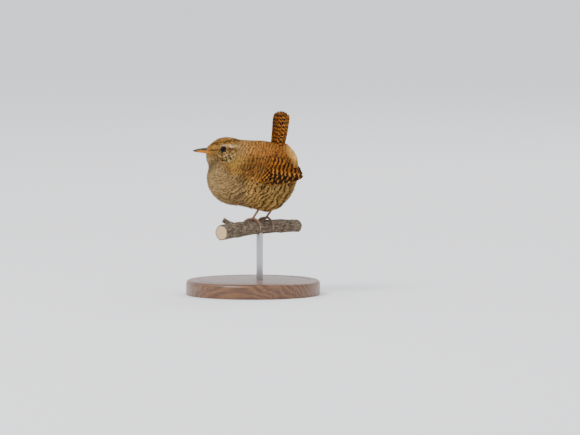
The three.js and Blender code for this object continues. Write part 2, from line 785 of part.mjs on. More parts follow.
function makeLeg(side) {
  const { knob, up } = legLine(side);
  const from = knob.clone().addScaledVector(up, 0.55 + GAP);
  const to = knob.clone().addScaledVector(up, LEG.length);
  const line = arcOf([from, from.clone().lerp(to, 0.5), to].map((p) => p.toArray()));
  const scute = (share) => 1 + 0.05 * Math.cos(2 * Math.PI * 7 * share);
  const radius = (share) => LEG.radius * scute(share) * mixed(1.06, 1.18, share);
  return largest(tube(line, radius, 28, 8, new THREE.Vector3(0, 1, 0)).subtract(clearOfBird));
}

// The scene graph

function finish(colour, roughness = 0.8, metalness = 0) {
  return new THREE.MeshStandardMaterial({ color: colour, roughness, metalness });
}

function named(name, solid, material) {
  const mesh = new THREE.Mesh(geometryOf(solid), material);
  mesh.name = name;
  return mesh;
}

const wren = new THREE.Group();
const { neck, torso } = makeTrunk();
wren.add(
  named("head", makeHead(), finish(COLOUR.back)),
  named("neck", neck, finish(COLOUR.breast)),
  named("torso", torso, finish(COLOUR.breast)),
  named("bill_upper", makeUpperBill(), finish(COLOUR.bill, 0.4)),
  named("bill_lower", largest(billHorn(-BILL.lower)), finish(COLOUR.gape, 0.4)),
  named("tail", makeTail(), finish(COLOUR.bars)),
);
for (const [word, side] of Object.entries({ left: -1, right: 1 })) {
  wren.add(
    named(`eye_${word}`, makeEye(side), finish(COLOUR.eye, 0.1)),
    named(`wing_${word}`, makeWing(side), finish(COLOUR.bars)),
    named(`leg_${word}`, makeLeg(side), finish(COLOUR.leg, 0.6)),
    named(`foot_${word}`, makeFoot(side), finish(COLOUR.leg, 0.6)),
  );
}

const stand = new THREE.Group();
stand.add(
  named("stand_base", makeBase(), finish(COLOUR.wood, 0.5)),
  named("stand_rod", makeRod(), finish(COLOUR.steel, 0.35, 1)),
  named("perch", makePerch(), finish(COLOUR.bark, 0.95)),
);

const model = new THREE.Group();
model.add(wren, stand);

export default model;
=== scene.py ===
"""A still, life-size wren with its tail cocked, on a cut branch held by a turned wooden stand.

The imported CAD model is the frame. Sizes are in millimetres up to the point where a mesh is made.
"""

import sys
import logging
import math
from collections.abc import Callable
from dataclasses import dataclass, field, replace
from enum import Enum
from functools import partial

import bpy
import numpy as np
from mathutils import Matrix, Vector, noise
from mathutils.kdtree import KDTree


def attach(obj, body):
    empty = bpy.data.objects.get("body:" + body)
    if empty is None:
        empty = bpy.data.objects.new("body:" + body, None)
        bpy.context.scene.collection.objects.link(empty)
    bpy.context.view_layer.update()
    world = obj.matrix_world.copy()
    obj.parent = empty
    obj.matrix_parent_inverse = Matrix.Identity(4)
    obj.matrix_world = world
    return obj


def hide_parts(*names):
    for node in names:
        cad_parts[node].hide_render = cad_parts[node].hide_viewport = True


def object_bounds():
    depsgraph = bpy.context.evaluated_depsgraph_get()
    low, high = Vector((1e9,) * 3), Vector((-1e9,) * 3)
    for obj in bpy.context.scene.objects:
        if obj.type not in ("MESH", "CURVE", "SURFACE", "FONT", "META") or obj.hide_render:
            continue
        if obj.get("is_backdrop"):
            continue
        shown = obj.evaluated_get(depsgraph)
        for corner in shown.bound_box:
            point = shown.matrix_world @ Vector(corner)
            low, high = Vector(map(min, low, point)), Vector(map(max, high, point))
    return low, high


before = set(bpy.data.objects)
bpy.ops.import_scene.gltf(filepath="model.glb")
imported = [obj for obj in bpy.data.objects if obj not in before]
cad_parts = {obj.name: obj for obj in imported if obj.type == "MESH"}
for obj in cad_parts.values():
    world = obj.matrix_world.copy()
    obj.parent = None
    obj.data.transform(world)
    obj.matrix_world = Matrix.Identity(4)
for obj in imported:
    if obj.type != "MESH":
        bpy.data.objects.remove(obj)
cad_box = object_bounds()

Array = np.ndarray
Point = tuple[float, float, float]
Colour = tuple[float, float, float]
Line = tuple[tuple[float, float], ...]
Placer = Callable[[Array, Array], Array]

MM = 0.001
SEED = 1125
TURN = 2 * math.pi
UP = np.array([0, 0, 1.0])

# Where the bird's own measures start, and places in them

BODY = np.array([3.0, 0.0, 50.0])
HEAD_TURN = math.radians(7)
HEAD_PIVOT = np.array([-14.0, 0.0])
BILL_BASE = np.array([-34.4, 0.0, 46.2])
EYE_PLACE = (-22.4, 47.9)
PERCH_TURN = math.radians(26)
FEET_X = 4.5

log = logging.getLogger("wren")


class Side(Enum):
    """The bird's left or right, as the sign of y."""

    LEFT = -1
    RIGHT = 1

    @property
    def word(self) -> str:
        """The side's name as the CAD nodes use it."""
        return self.name.lower()


# Meshes


def deselect() -> None:
    """Leave edit mode and select nothing."""
    if bpy.context.object and bpy.context.object.mode != "OBJECT":
        bpy.ops.object.mode_set(mode="OBJECT")
    bpy.ops.object.select_all(action="DESELECT")


def pick(piece: bpy.types.Object) -> None:
    """Make a piece the active one and the only one selected."""
    deselect()
    bpy.context.view_layer.objects.active = piece
    piece.select_set(True)


def primitive(name: str, kind: str, **sizes: object) -> bpy.types.Object:
    """Add a primitive with nothing else selected.

    Args:
        name: The new object's name.
        kind: The mesh operator's middle word, such as uv_sphere.
        sizes: The operator's own settings, in metres.

    Returns:
        The new object.
    """
    deselect()
    getattr(bpy.ops.mesh, f"primitive_{kind}_add")(**sizes)
    made = bpy.context.object
    made.name = made.data.name = name
    return made


def points_of(piece: bpy.types.Object) -> Array:
    """Every vertex of a piece, in millimetres."""
    flat = np.empty(len(piece.data.vertices) * 3)
    piece.data.vertices.foreach_get("co", flat)
    return flat.reshape(-1, 3) / MM


def set_points(piece: bpy.types.Object, points: Array) -> None:
    """Move every vertex of a piece, given in millimetres."""
    piece.data.vertices.foreach_set("co", (points * MM).astype(np.float32).ravel())
    piece.data.update()


def set_values(piece: bpy.types.Object, values: dict[str, Array]) -> None:
    """Store one number a vertex under each name, for the materials to read."""
    for name, numbers in values.items():
        layer = piece.data.attributes.get(name) or piece.data.attributes.new(name, "FLOAT", "POINT")
        layer.data.foreach_set("value", np.asarray(numbers, np.float32).ravel())


def edit(piece: bpy.types.Object, *steps: Callable[[], object], chosen: Array | None = None) -> None:
    """Run mesh operators on a piece in edit mode.

    Args:
        piece: The piece to work on.
        steps: The operators, each as a call without arguments.
        chosen: One truth value a face for what is selected, or None for all.
    """
    pick(piece)
    if chosen is not None:
        for kind in (piece.data.vertices, piece.data.edges):
            kind.foreach_set("select", np.zeros(len(kind), bool))
        piece.data.polygons.foreach_set("select", chosen)
    bpy.ops.object.mode_set(mode="EDIT")
    bpy.ops.mesh.select_mode(type="FACE")
    if chosen is None:
        bpy.ops.mesh.select_all(action="SELECT")
    for step in steps:
        step()
    bpy.ops.object.mode_set(mode="OBJECT")


def modify(piece: bpy.types.Object, kind: str, **settings: object) -> None:
    """Add a modifier, set it and apply it."""
    pick(piece)
    modifier = piece.modifiers.new(kind.title(), kind)
    for name, value in settings.items():
        setattr(modifier, name, value)
    bpy.ops.object.modifier_apply(modifier=modifier.name)


def smooth(piece: bpy.types.Object, degrees: float = 40) -> None:
    """Shade a piece smooth, with creases kept above an angle."""
    pick(piece)
    bpy.ops.object.shade_smooth_by_angle(angle=math.radians(degrees))


def joined(name: str, parts: list[bpy.types.Object]) -> bpy.types.Object:
    """Join several objects into the first one and name it."""
    deselect()
    for part in parts:
        part.select_set(True)
    bpy.context.view_layer.objects.active = parts[0]
    bpy.ops.object.join()
    parts[0].name = parts[0].data.name = name
    return parts[0]


def outward(piece: bpy.types.Object, *first: Callable[[], object]) -> None:
    """Turn every face of a piece outward, after other steps in edit mode."""
    edit(piece, *first, partial(bpy.ops.mesh.normals_make_consistent, inside=False))


def rolled(name: str, steps: int, sides: int, place: Placer) -> bpy.types.Object:
    """Roll a flat grid into a closed form, such as a toe or a branch.

    Args:
        name: The piece's name.
        steps: Faces along it.
        sides: Faces round it.
        place: Gives the points for arrays of shares along and round, both 0 to 1.

    Returns:
        The closed piece, which keeps its shares as the values along and around.
    """
    piece = primitive(name, "grid", x_subdivisions=steps, y_subdivisions=sides, size=1)
    shares = points_of(piece) * MM + 0.5
    along, around = np.clip(shares[:, 0], 0, 1), np.clip(shares[:, 1], 0, 1)
    set_values(piece, {"along": along, "around": around})
    set_points(piece, place(along, around))
    outward(piece, partial(bpy.ops.mesh.remove_doubles, threshold=2e-6))
    smooth(piece)
    return piece


def mesh_from(name: str, points: Array, triangles: Array) -> bpy.types.Object:
    """A mesh object made straight from arrays of points and triangles."""
    mesh = bpy.data.meshes.new(name)
    mesh.vertices.add(len(points))
    mesh.vertices.foreach_set("co", (points * MM).astype(np.float32).ravel())
    mesh.loops.add(triangles.size)
    mesh.loops.foreach_set("vertex_index", triangles.astype(np.int32).ravel())
    mesh.polygons.add(len(triangles))
    mesh.polygons.foreach_set("loop_start", np.arange(0, triangles.size, 3, dtype=np.int32))
    mesh.update(calc_edges=True)
    piece = bpy.data.objects.new(name, mesh)
    bpy.context.scene.collection.objects.link(piece)
    return piece


def set_bake_map(piece: bpy.types.Object, places: Array) -> None:
    """Give a piece its OFBake map from one place a vertex."""
    corners = np.empty(len(piece.data.loops), np.int32)
    piece.data.loops.foreach_get("vertex_index", corners)
    layer = piece.data.uv_layers.new(name="OFBake")
    layer.data.foreach_set("uv", np.clip(places, 0.001, 0.999)[corners].astype(np.float32).ravel())


def finish(
    piece: bpy.types.Object, material: bpy.types.Material, slot: str, replaced: tuple[str, ...] = ()
) -> bpy.types.Object:
    """Dress a piece, let it ride on the model, hide the nodes it stands for and log its triangles."""
    piece.data.materials.clear()
    piece.data.materials.append(material)
    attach(piece, "root")
    if replaced:
        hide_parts(*replaced)
    piece.data.calc_loop_triangles()
    log.info("%-22s %7d triangles", piece.name, len(piece.data.loop_triangles))
    return piece


# Materials


class Signal:
    """A shader socket that takes part in plain arithmetic."""

    def __init__(self, recipe: "Recipe", socket: bpy.types.NodeSocket) -> None:
        """Keep the socket and the recipe that new nodes go into."""
        self.recipe = recipe
        self.socket = socket

    def __add__(self, other: "Signal | float") -> "Signal":
        """The sum."""
        return self.recipe.maths("ADD", self, other)

    def __radd__(self, other: float) -> "Signal":
        """The sum, from the right."""
        return self.recipe.maths("ADD", other, self)

    def __sub__(self, other: "Signal | float") -> "Signal":
        """The difference."""
        return self.recipe.maths("SUBTRACT", self, other)

    def __rsub__(self, other: float) -> "Signal":
        """The difference, from the right."""
        return self.recipe.maths("SUBTRACT", other, self)

    def __mul__(self, other: "Signal | float") -> "Signal":
        """The product."""
        return self.recipe.maths("MULTIPLY", self, other)

    def __rmul__(self, other: float) -> "Signal":
        """The product, from the right."""
        return self.recipe.maths("MULTIPLY", other, self)

    def __abs__(self) -> "Signal":
        """The size without its sign."""
        return self.recipe.maths("ABSOLUTE", self)

    def sine(self) -> "Signal":
        """The sine, of radians."""
        return self.recipe.maths("SINE", self)

    def swing(self, size: float) -> "Signal":
        """A noise of 0 to 1 turned into a swing about zero, of a size from end to end."""
        return (self - 0.5) * size

    def between(self, low: float, high: float) -> "Signal":
        """Zero below low, one above high and smooth between them; low above high turns it round."""
        settings = {"interpolation_type": "SMOOTHSTEP"}
        sockets = {"Value": self, "From Min": low, "From Max": high}
        mapped = self.recipe.node("ShaderNodeMapRange", settings, sockets)
        return Signal(self.recipe, mapped.outputs["Result"])


class Recipe:
    """One material's nodes."""

    def __init__(self, name: str) -> None:
        """Start the material with its shader."""
        self.material = bpy.data.materials.new(name)
        self.material.use_nodes = True
        self.tree = self.material.node_tree
        self.shader = next(n for n in self.tree.nodes if n.type == "BSDF_PRINCIPLED")

    def node(self, kind: str, settings: dict[str, object], sockets: dict[object, object]) -> bpy.types.Node:
        """Add a node of any kind.

        Args:
            kind: The node's type.
            settings: The node's own settings, set first.
            sockets: A value or a link for each input, by name or number.

        Returns:
            The new node.
        """
        made = self.tree.nodes.new(kind)
        for name, value in settings.items():
            setattr(made, name, value)
        for name, value in sockets.items():
            self.feed(made.inputs[name], value)
        return made

    def feed(self, socket: bpy.types.NodeSocket, value: object) -> None:
        """Link a signal or a socket to an input, or set the input to a number or colour."""
        if isinstance(value, Signal):
            value = value.socket
        if isinstance(value, bpy.types.NodeSocket):
            self.tree.links.new(value, socket)
        elif isinstance(value, tuple) and socket.type == "RGBA":
            socket.default_value = (*value, 1)
        else:
            socket.default_value = value

    def maths(self, operation: str, *values: "Signal | float") -> Signal:
        """One Math node on one or two values."""
        made = self.node("ShaderNodeMath", {"operation": operation}, dict(enumerate(values)))
        return Signal(self, made.outputs[0])

    def value(self, name: str) -> Signal:
        """A number that the mesh keeps at each vertex."""
        return Signal(self, self.node("ShaderNodeAttribute", {"attribute_name": name}, {}).outputs["Fac"])

    def place(self, scale: Point = (1, 1, 1), turn: Point = (0, 0, 0)) -> bpy.types.NodeSocket:
        """Object coordinates in millimetres, turned back by an angle and then scaled."""
        coordinates = self.node("ShaderNodeTexCoord", {}, {}).outputs["Object"]
        sockets = {"Vector": coordinates, "Scale": tuple(MM / s for s in scale), "Rotation": turn}
        return self.node("ShaderNodeMapping", {"vector_type": "TEXTURE"}, sockets).outputs["Vector"]

    def axis(self, vector: bpy.types.NodeSocket, name: str) -> Signal:
        """One part of a vector, X, Y or Z."""
        return Signal(self, self.node("ShaderNodeSeparateXYZ", {}, {"Vector": vector}).outputs[name])

    def grain(
        self, vector: bpy.types.NodeSocket, scale: float, detail: float = 3, rough: float = 0.55
    ) -> Signal:
        """Noise of about 0 to 1, with scale in cycles a millimetre."""
        sockets = {"Vector": vector, "Scale": scale, "Detail": detail, "Roughness": rough}
        return Signal(self, self.node("ShaderNodeTexNoise", {}, sockets).outputs[0])

    def cells(self, vector: bpy.types.NodeSocket, scale: float, feature: str = "F1") -> Signal:
        """Distances in a pattern of cells: to the nearest cell's point, or to its edge."""
        made = self.node("ShaderNodeTexVoronoi", {"feature": feature}, {"Vector": vector, "Scale": scale})
        return Signal(self, made.outputs["Distance"])

    def mix(self, below: object, above: object, share: "Signal | float") -> bpy.types.NodeSocket:
        """One colour over another by a share."""
        return self.node("ShaderNodeMix", {"data_type": "RGBA"}, {0: share, 6: below, 7: above}).outputs[2]

    def lit(self, tone: bpy.types.NodeSocket, light: Signal) -> bpy.types.NodeSocket:
        """A colour made brighter or darker."""
        return self.node("ShaderNodeHueSaturation", {}, {"Value": light, "Color": tone}).outputs["Color"]

    def bump(self, height: Signal, distance: float, strength: float = 1) -> bpy.types.NodeSocket:
        """A normal from a height, whose full swing is a distance in millimetres."""
        sockets = {"Height": height, "Distance": distance * MM, "Strength": strength}
        return self.node("ShaderNodeBump", {}, sockets).outputs["Normal"]

    def done(self, **sockets: object) -> bpy.types.Material:
        """Set or link the shader's inputs, with an underscore for each space in a name."""
        for name, value in sockets.items():
            self.feed(self.shader.inputs[name.replace("_", " ")], value)
        return self.material


@dataclass(frozen=True)
class SmallFeathers:
    """Contour feathers and the skin below them, whose colours follow the marks on the bird and the shade
    painted on it.
    """

    back: Colour = (0.48, 0.235, 0.052)
    rufous: Colour = (0.39, 0.134, 0.021)
    neck: Colour = (0.45, 0.26, 0.057)
    nape: Colour = (0.30, 0.205, 0.088)
    under: Colour = (0.37, 0.235, 0.098)
    flank: Colour = (0.48, 0.275, 0.076)
    buff: Colour = (0.80, 0.46, 0.115)
    pale: Colour = (0.74, 0.575, 0.305)
    dark: Colour = (0.035, 0.018, 0.006)
    down: Colour = (0.10, 0.06, 0.028)

    def material(self, name: str, bare: bool = False) -> bpy.types.Material:
        """Make the material.

        Args:
            name: Its name.
            bare: Whether it is for the skin, which has no vanes.

        Returns:
            The material.
        """
        r = Recipe(name)
        place = r.place()
        cloud = r.grain(place, 0.2, 3)
        sway = r.grain(place, 0.17, 1)
        mottle = r.grain(place, 0.8, 2, 0.6).between(0.39, 0.61)
        speck = r.grain(place, 2.2, 2)
        chance, along = r.value("chance"), r.value("along")
        across = abs(r.value("across"))
        tone = r.mix(self.back, self.rufous, (r.value("rufous") + cloud.swing(0.9)).between(0, 1))
        tone = r.mix(tone, self.nape, r.value("nape"))
        tone = r.mix(tone, self.neck, r.value("neck") * 0.8)
        below = r.mix(self.under, self.flank, (r.value("flank") + cloud.swing(0.5)).between(0, 1))
        tone = r.mix(tone, below, r.value("under"))
        tone = r.mix(tone, self.buff, r.value("buff"))
        paleness = r.value("pale") * (0.5 + chance * 0.5 + mottle * 0.3)
        tone = r.mix(tone, self.pale, paleness.between(0.1, 0.9))
        phase = r.value("bars") * TURN + chance * 0.8 + across * 0.8 + sway.swing(7) + mottle.swing(1.4)
        bars = phase.sine().between(-0.4, 0.5) * r.value("barring") * (0.52 + mottle * 0.48)
        deeper = 1 + r.value("flank") * r.value("under") * 0.3
        tone = r.mix(tone, self.dark, bars * (0.78 + chance * 0.22) * deeper)
        # The dark mark darkens the feathers for their dark markings and for painted shade: the shadow under
        # the wing's upper edge and the shaded breast side.
        dark = r.value("dark") + (mottle - 0.4) * r.value("mottled") * 0.9
        tone = r.mix(tone, self.dark, (dark * (0.7 + chance * 0.6)).between(0.12, 0.95) * 0.88)
        if not bare:
            ripe = along.between(0.78, 1.0) * (1 - r.value("dark")) * 0.22
            tone = r.mix(tone, self.buff, ripe)
            tone = r.mix(tone, self.down, along.between(0.42, 0.05) * 0.6)
        light = 0.95 + chance.swing(0.5) + speck.swing(0.5) - mottle.swing(0.36) + cloud.swing(0.7)
        # Painted shade: the shade mark darkens the breast side, the shoulder and the lower body, and also the
        # whole head and the body toward the tail.
        light = light * (1 - r.value("shade") * 0.5)
        barbs = (across * 9 + along * 26 + chance * 7).sine()
        height = barbs * 0.5 + speck
        return r.done(
            Base_Color=r.lit(tone, light),
            Roughness=0.8,
            Sheen_Weight=0.03,
            Sheen_Roughness=0.5,
            Sheen_Tint=(0.9, 0.62, 0.34),
            Specular_IOR_Level=0.1,
            Normal=r.bump(height, 0.05, 0.7),
        )


@dataclass(frozen=True)
class FlightFeathers:
    """Long barred feathers of the wing or tail.

    Of each bar and its gap, share is dark. The bars slant by chevron and waver by wobble, both in parts
    of a cycle.
    """

    ground: Colour
    inner: Colour
    bar: Colour
    spot: Colour
    share: float
    chevron: float
    wobble: float
    below: Colour = (0.17, 0.125, 0.088)

    def material(self, name: str) -> bpy.types.Material:
        """Make the material under a name."""
        r = Recipe(name)
        place = r.place()
        across, run, chance = abs(r.value("across")), r.value("run"), r.value("chance")
        outer, chequer = r.value("outer"), r.value("chequer")
        speck = r.grain(place, 2.4, 3)
        mottle = r.grain(place, 0.8, 3)
        wobble = r.grain(place, 0.3, 2).swing(self.wobble) + mottle.swing(0.28)
        wave = ((run + wobble + across * self.chevron) * TURN).sine()
        low = (1 - 2 * self.share) - chequer * 0.7
        bars = ((wave - low) * 1.3 + 0.5).between(0.0, 1.0)
        ground = r.mix(self.inner, self.ground, outer)
        ground = r.mix(ground, self.spot, chequer * ((low - wave) * 2.2).between(0.0, 1.0) * outer)
        below = r.value("below")
        ground = r.mix(ground, self.below, below * 0.85)
        tone = r.mix(ground, self.bar, bars * (0.78 + 0.16 * outer + 0.06 * chequer) * (1 - below * 0.4))
        shaft = across.between(0.1, 0.02)
        tone = r.mix(tone, self.bar, shaft * 0.75)
        # Painted shadow: the rim darkens each vane's inner edge, where the next feather lies over it.
        tone = r.mix(tone, self.bar, r.value("rim") * 0.8)
        tone = r.mix(tone, self.spot, r.value("edge") * 0.25)
        light = 0.84 + chance.swing(0.4) + speck.swing(0.5) + mottle.swing(0.9)
        barbs = (run * 40 - across * 16).sine()
        height = barbs * 0.4 + shaft * 1.5 + speck * 0.5
        return r.done(
            Base_Color=r.lit(tone, light),
            Roughness=0.6 + speck.swing(0.2),
            Specular_IOR_Level=0.05,
            Normal=r.bump(height, 0.06, 0.8),
        )


WING_LOOK = FlightFeathers(
    ground=(0.29, 0.094, 0.013),
    inner=(0.06, 0.025, 0.009),
    bar=(0.003, 0.0015, 0.001),
    spot=(0.56, 0.24, 0.045),
    share=0.5,
    chevron=0.14,
    wobble=0.9,
)
TAIL_LOOK = FlightFeathers(
    ground=(0.34, 0.106, 0.014),
    inner=(0.15, 0.047, 0.009),
    bar=(0.006, 0.003, 0.0015),
    spot=(0.62, 0.25, 0.042),
    share=0.54,
    chevron=0.3,
    wobble=1.5,
    below=(0.44, 0.165, 0.028),
)


@dataclass(frozen=True)
class BillHorn:
    """Horn of the bill, dark on the ridge and tip and orange-yellow below."""

    dark: Colour = (0.045, 0.03, 0.022)
    light: Colour = (0.44, 0.15, 0.004)
    nostril: Colour = (0.01, 0.007, 0.006)

    def material(self, name: str) -> bpy.types.Material:
        """Make the material under a name."""
        r = Recipe(name)
        place = r.place((0.35, 1, 1))
        streak = r.grain(place, 2.2, 4)
        share = (r.value("horn") + streak.swing(0.35)).between(0.1, 0.8)
        tone = r.mix(self.light, self.dark, share)
        tone = r.mix(tone, self.nostril, r.value("pit"))
        return r.done(
            Base_Color=tone,
            Roughness=0.42 + streak.swing(0.25),
            Specular_IOR_Level=0.2,
            Subsurface_Weight=0.05,
            Subsurface_Radius=(0.0008, 0.0004, 0.0002),
            Normal=r.bump(streak, 0.03, 0.6),
        )


@dataclass(frozen=True)
class WetEye:
    """A black-brown eye with its wide pupil under a clear wet surface."""

    pupil: Colour = (0.002, 0.002, 0.002)
    iris: Colour = (0.012, 0.0065, 0.004)

    def material(self, name: str) -> bpy.types.Material:
        """Make the material under a name."""
        r = Recipe(name)
        ring = r.value("ring")
        rays = r.grain(r.place(), 3.5, 3)
        share = ring.between(0.5, 0.56) * ring.between(0.86, 0.78)
        tone = r.mix(self.pupil, self.iris, share * (0.55 + rays * 0.9))
        return r.done(Base_Color=tone, Roughness=0.05 + rays.swing(0.02), Specular_IOR_Level=0.12, IOR=1.36)


@dataclass(frozen=True)
class ScaledSkin:
    """Bare skin: the scaled legs and toes, or the rims of the lids."""

    light: Colour = (0.235, 0.125, 0.068)
    dark: Colour = (0.075, 0.038, 0.022)
    rings: float = 12.0
    gloss: float = 0.35

    def material(self, name: str) -> bpy.types.Material:
        """Make the material under a name."""
        r = Recipe(name)
        place = r.place()
        seams = r.cells(place, 3.2, "DISTANCE_TO_EDGE").between(0.09, 0.0)
        joints = (r.value("along") * (self.rings * TURN)).sine().between(0.8, 1.0)
        speck = r.grain(place, 1.4, 3)
        tone = r.mix(self.light, self.dark, (seams * 0.5 + joints * 0.55 + speck.swing(0.6)).between(0, 1))
        height = 1 - seams * 0.5 - joints
        return r.done(
            Base_Color=tone,
            Roughness=0.5 + speck.swing(0.3),
            Specular_IOR_Level=self.gloss,
            Subsurface_Weight=0.05,
            Subsurface_Radius=(0.0006, 0.0003, 0.0002),
            Normal=r.bump(height, 0.07, 0.8),
        )


LEG_SKIN = ScaledSkin()
LID_SKIN = ScaledSkin(light=(0.04, 0.024, 0.015), dark=(0.014, 0.008, 0.006), rings=0, gloss=0.12)


@dataclass(frozen=True)
class ClawHorn:
    """Brown horn, paler at the root of the claw."""

    root: Colour = (0.26, 0.17, 0.11)
    tip: Colour = (0.06, 0.04, 0.03)

    def material(self, name: str) -> bpy.types.Material:
        """Make the material under a name."""
        r = Recipe(name)
        streak = r.grain(r.place(), 1.6, 3)
        share = (r.value("along") + streak.swing(0.4)).between(0.1, 0.9)
        return r.done(
            Base_Color=r.mix(self.root, self.tip, share),
            Roughness=0.36 + streak.swing(0.2),
            Normal=r.bump(streak, 0.02, 0.5),
        )


@dataclass(frozen=True)
class Bark:
    """Grey-brown bark with darker furrows, and the pale wood of a cut end with its year rings."""

    ridge: Colour = (0.25, 0.19, 0.13)
    furrow: Colour = (0.07, 0.046, 0.03)
    weathered: Colour = (0.16, 0.165, 0.09)
    pore: Colour = (0.36, 0.27, 0.18)
    wood: Colour = (0.62, 0.42, 0.23)
    ring: Colour = (0.34, 0.19, 0.09)

    def material(self, name: str) -> bpy.types.Material:
        """Make the material under a name."""
        r = Recipe(name)
        turn = (0, 0, -PERCH_TURN)
        long_grain = r.grain(r.place((1, 0.16, 1), turn), 1.1, 5, 0.62)
        broad = r.grain(r.place(), 0.16, 3)
        fine = r.grain(r.place(), 3.0, 4, 0.7)
        cracks = r.cells(r.place((1, 0.16, 1), turn), 0.7, "DISTANCE_TO_EDGE")
        seams = (cracks + fine.swing(0.3) + long_grain.swing(0.3)).between(0.12, -0.02)
        relief = r.value("relief")
        share = (0.5 + long_grain.swing(1.5) + broad.swing(0.8) + relief.swing(0.5)).between(0, 1)
        tone = r.mix(self.furrow, self.ridge, share)
        tone = r.mix(tone, self.weathered, broad.between(0.5, 0.72) * 0.55)
        tone = r.mix(tone, self.furrow, seams * 0.7)
        pores = r.cells(r.place((1, 0.5, 1), turn), 0.42)
        tone = r.mix(tone, self.pore, pores.between(0.13, 0.07) * 0.75)
        rings = (r.value("depth") * 24 + fine.swing(1.6) + broad.swing(4)).sine()
        cut = r.value("cut")
        face = r.mix(self.wood, self.ring, rings.between(0.1, 1.0) * 0.6)
        face = r.mix(face, self.ring, fine.between(0.5, 0.8) * 0.35)
        tone = r.mix(tone, face, cut.between(0.4, 0.6))
        rough = long_grain * 1.1 + fine * 0.35 - seams * 0.6
        height = (1 - cut) * rough + cut * (rings * 0.06 + fine * 0.2)
        return r.done(
            Base_Color=tone,
            Roughness=0.88 - fine.swing(0.2),
            Specular_IOR_Level=0.2,
            Normal=r.bump(height, 0.4, 0.9),
        )


@dataclass(frozen=True)
class TurnedWood:
    """Dark waxed wood with long grain and fine pores."""

    light: Colour = (0.19, 0.082, 0.032)
    dark: Colour = (0.07, 0.027, 0.011)
    pore: Colour = (0.02, 0.009, 0.005)

    def material(self, name: str) -> bpy.types.Material:
        """Make the material under a name."""
        r = Recipe(name)
        warp = r.grain(r.place((0.12, 0.5, 0.5)), 0.12, 3)
        bands = (r.axis(r.place(), "Y") * 1.5 + r.axis(r.place(), "Z") * 0.9 + warp * 34).sine()
        streaks = r.grain(r.place((0.05, 1.6, 1.6)), 0.7, 4, 0.6)
        pores = r.grain(r.place((0.07, 2.2, 2.2)), 2.0, 3, 0.7)
        tone = r.mix(self.dark, self.light, (0.5 + bands * 0.22 + streaks.swing(1.3)).between(0, 1))
        tone = r.mix(tone, self.pore, pores.between(0.58, 0.72) * 0.7)
        worn = r.grain(r.place(), 0.35, 3)
        return r.done(
            Base_Color=tone,
            Roughness=0.36 + worn.swing(0.25),
            Coat_Weight=0.2,
            Coat_Roughness=0.25,
            Normal=r.bump(pores, 0.06, 0.4),
        )


@dataclass(frozen=True)
class BrushedSteel:
    """Steel rod, brushed round."""

    tone: Colour = (0.50, 0.50, 0.51)
    line: Colour = (0.40, 0.40, 0.41)

    def material(self, name: str) -> bpy.types.Material:
        """Make the material under a name."""
        r = Recipe(name)
        lines = r.grain(r.place((0.08, 0.08, 5)), 2.0, 3)
        return r.done(
            Base_Color=r.mix(self.tone, self.line, lines),
            Metallic=1.0,
            Roughness=0.26 + lines * 0.16,
            Normal=r.bump(lines, 0.015, 0.5),
        )


@dataclass(frozen=True)
class PaleFloor:
    """Plain pale studio floor."""

    tone: Colour = (0.92, 0.92, 0.92)

    def material(self, name: str) -> bpy.types.Material:
        """Make the material under a name."""
        r = Recipe(name)
        speck = r.grain(r.place(), 0.02, 2)
        return r.done(Base_Color=self.tone, Roughness=0.86 + speck.swing(0.05), Specular_IOR_Level=0.15)


# The plumage's outline


@dataclass(frozen=True)
class Mass:
    """One ellipsoid of the plumage, by its middle and half sizes."""

    at: Point
    half: Point

    def distance(self, points: Array) -> Array:
        """About how far points are outside it."""
        q = (points - np.array(self.at)) / np.array(self.half)
        inner = np.linalg.norm(q, axis=-1)
        slope = np.linalg.norm(q / np.array(self.half), axis=-1)
        return inner * (inner - 1) / np.maximum(slope, 1e-9)


TRUNK = {
    "torso": Mass((1, 0, 31.8), (26.4, 19.4, 21.8)),
    "breast": Mass((-15.6, 0, 27.8), (19, 17.2, 18)),
    "belly": Mass((4, 0, 20.8), (18.4, 16.6, 13.8)),
    "neck": Mass((-13.6, 0, 40.6), (14, 12.2, 12)),
    "rump": Mass((15.4, 0, 40), (10.8, 10.4, 9.4)),
    "tail root": Mass((16.4, 0, 45.4), (5, 5.2, 5.6)),
    "left thigh": Mass((8.4, -8.2, 12.6), (6.4, 5, 6.2)),
    "right thigh": Mass((8.4, 8.2, 12.6), (6.4, 5, 6.2)),
}
HEAD = {
    "skull": Mass((-21.4, 0, 46.8), (11.2, 8.2, 8.8)),
    "face": Mass((-29.8, 0, 46.4), (5.6, 3.5, 3.6)),
    "throat": Mass((-28.2, 0, 41.4), (6.6, 5.4, 5.4)),
    "left cheek": Mass((-19.6, -3.4, 43.8), (7, 5.4, 5.8)),
    "right cheek": Mass((-19.6, 3.4, 43.8), (7, 5.4, 5.8)),
}
TRUNK_BLEND = 5.0
HEAD_BLEND = 3.2


def melt(a: Array, b: Array, reach: float) -> Array:
    """The lesser of two distances, rounded where they meet."""
    h = np.clip(1 - np.abs(a - b) / reach, 0, 1)
    return np.minimum(a, b) - h * h * reach / 4


def unit(way: Array) -> Array:
    """A direction, or many, at length one."""
    return way / np.maximum(np.linalg.norm(way, axis=-1, keepdims=True), 1e-9)


def read(line: Line, at: Array) -> Array:
    """A value between pairs of a place and a value."""
    places, values = zip(*line)
    return np.interp(at, places, values)


def eased(values: Array, low: float, high: float) -> Array:
    """Zero at low, one at high and smooth between them."""
    share = np.clip((values - low) / (high - low), 0, 1)
    return share * share * (3 - 2 * share)


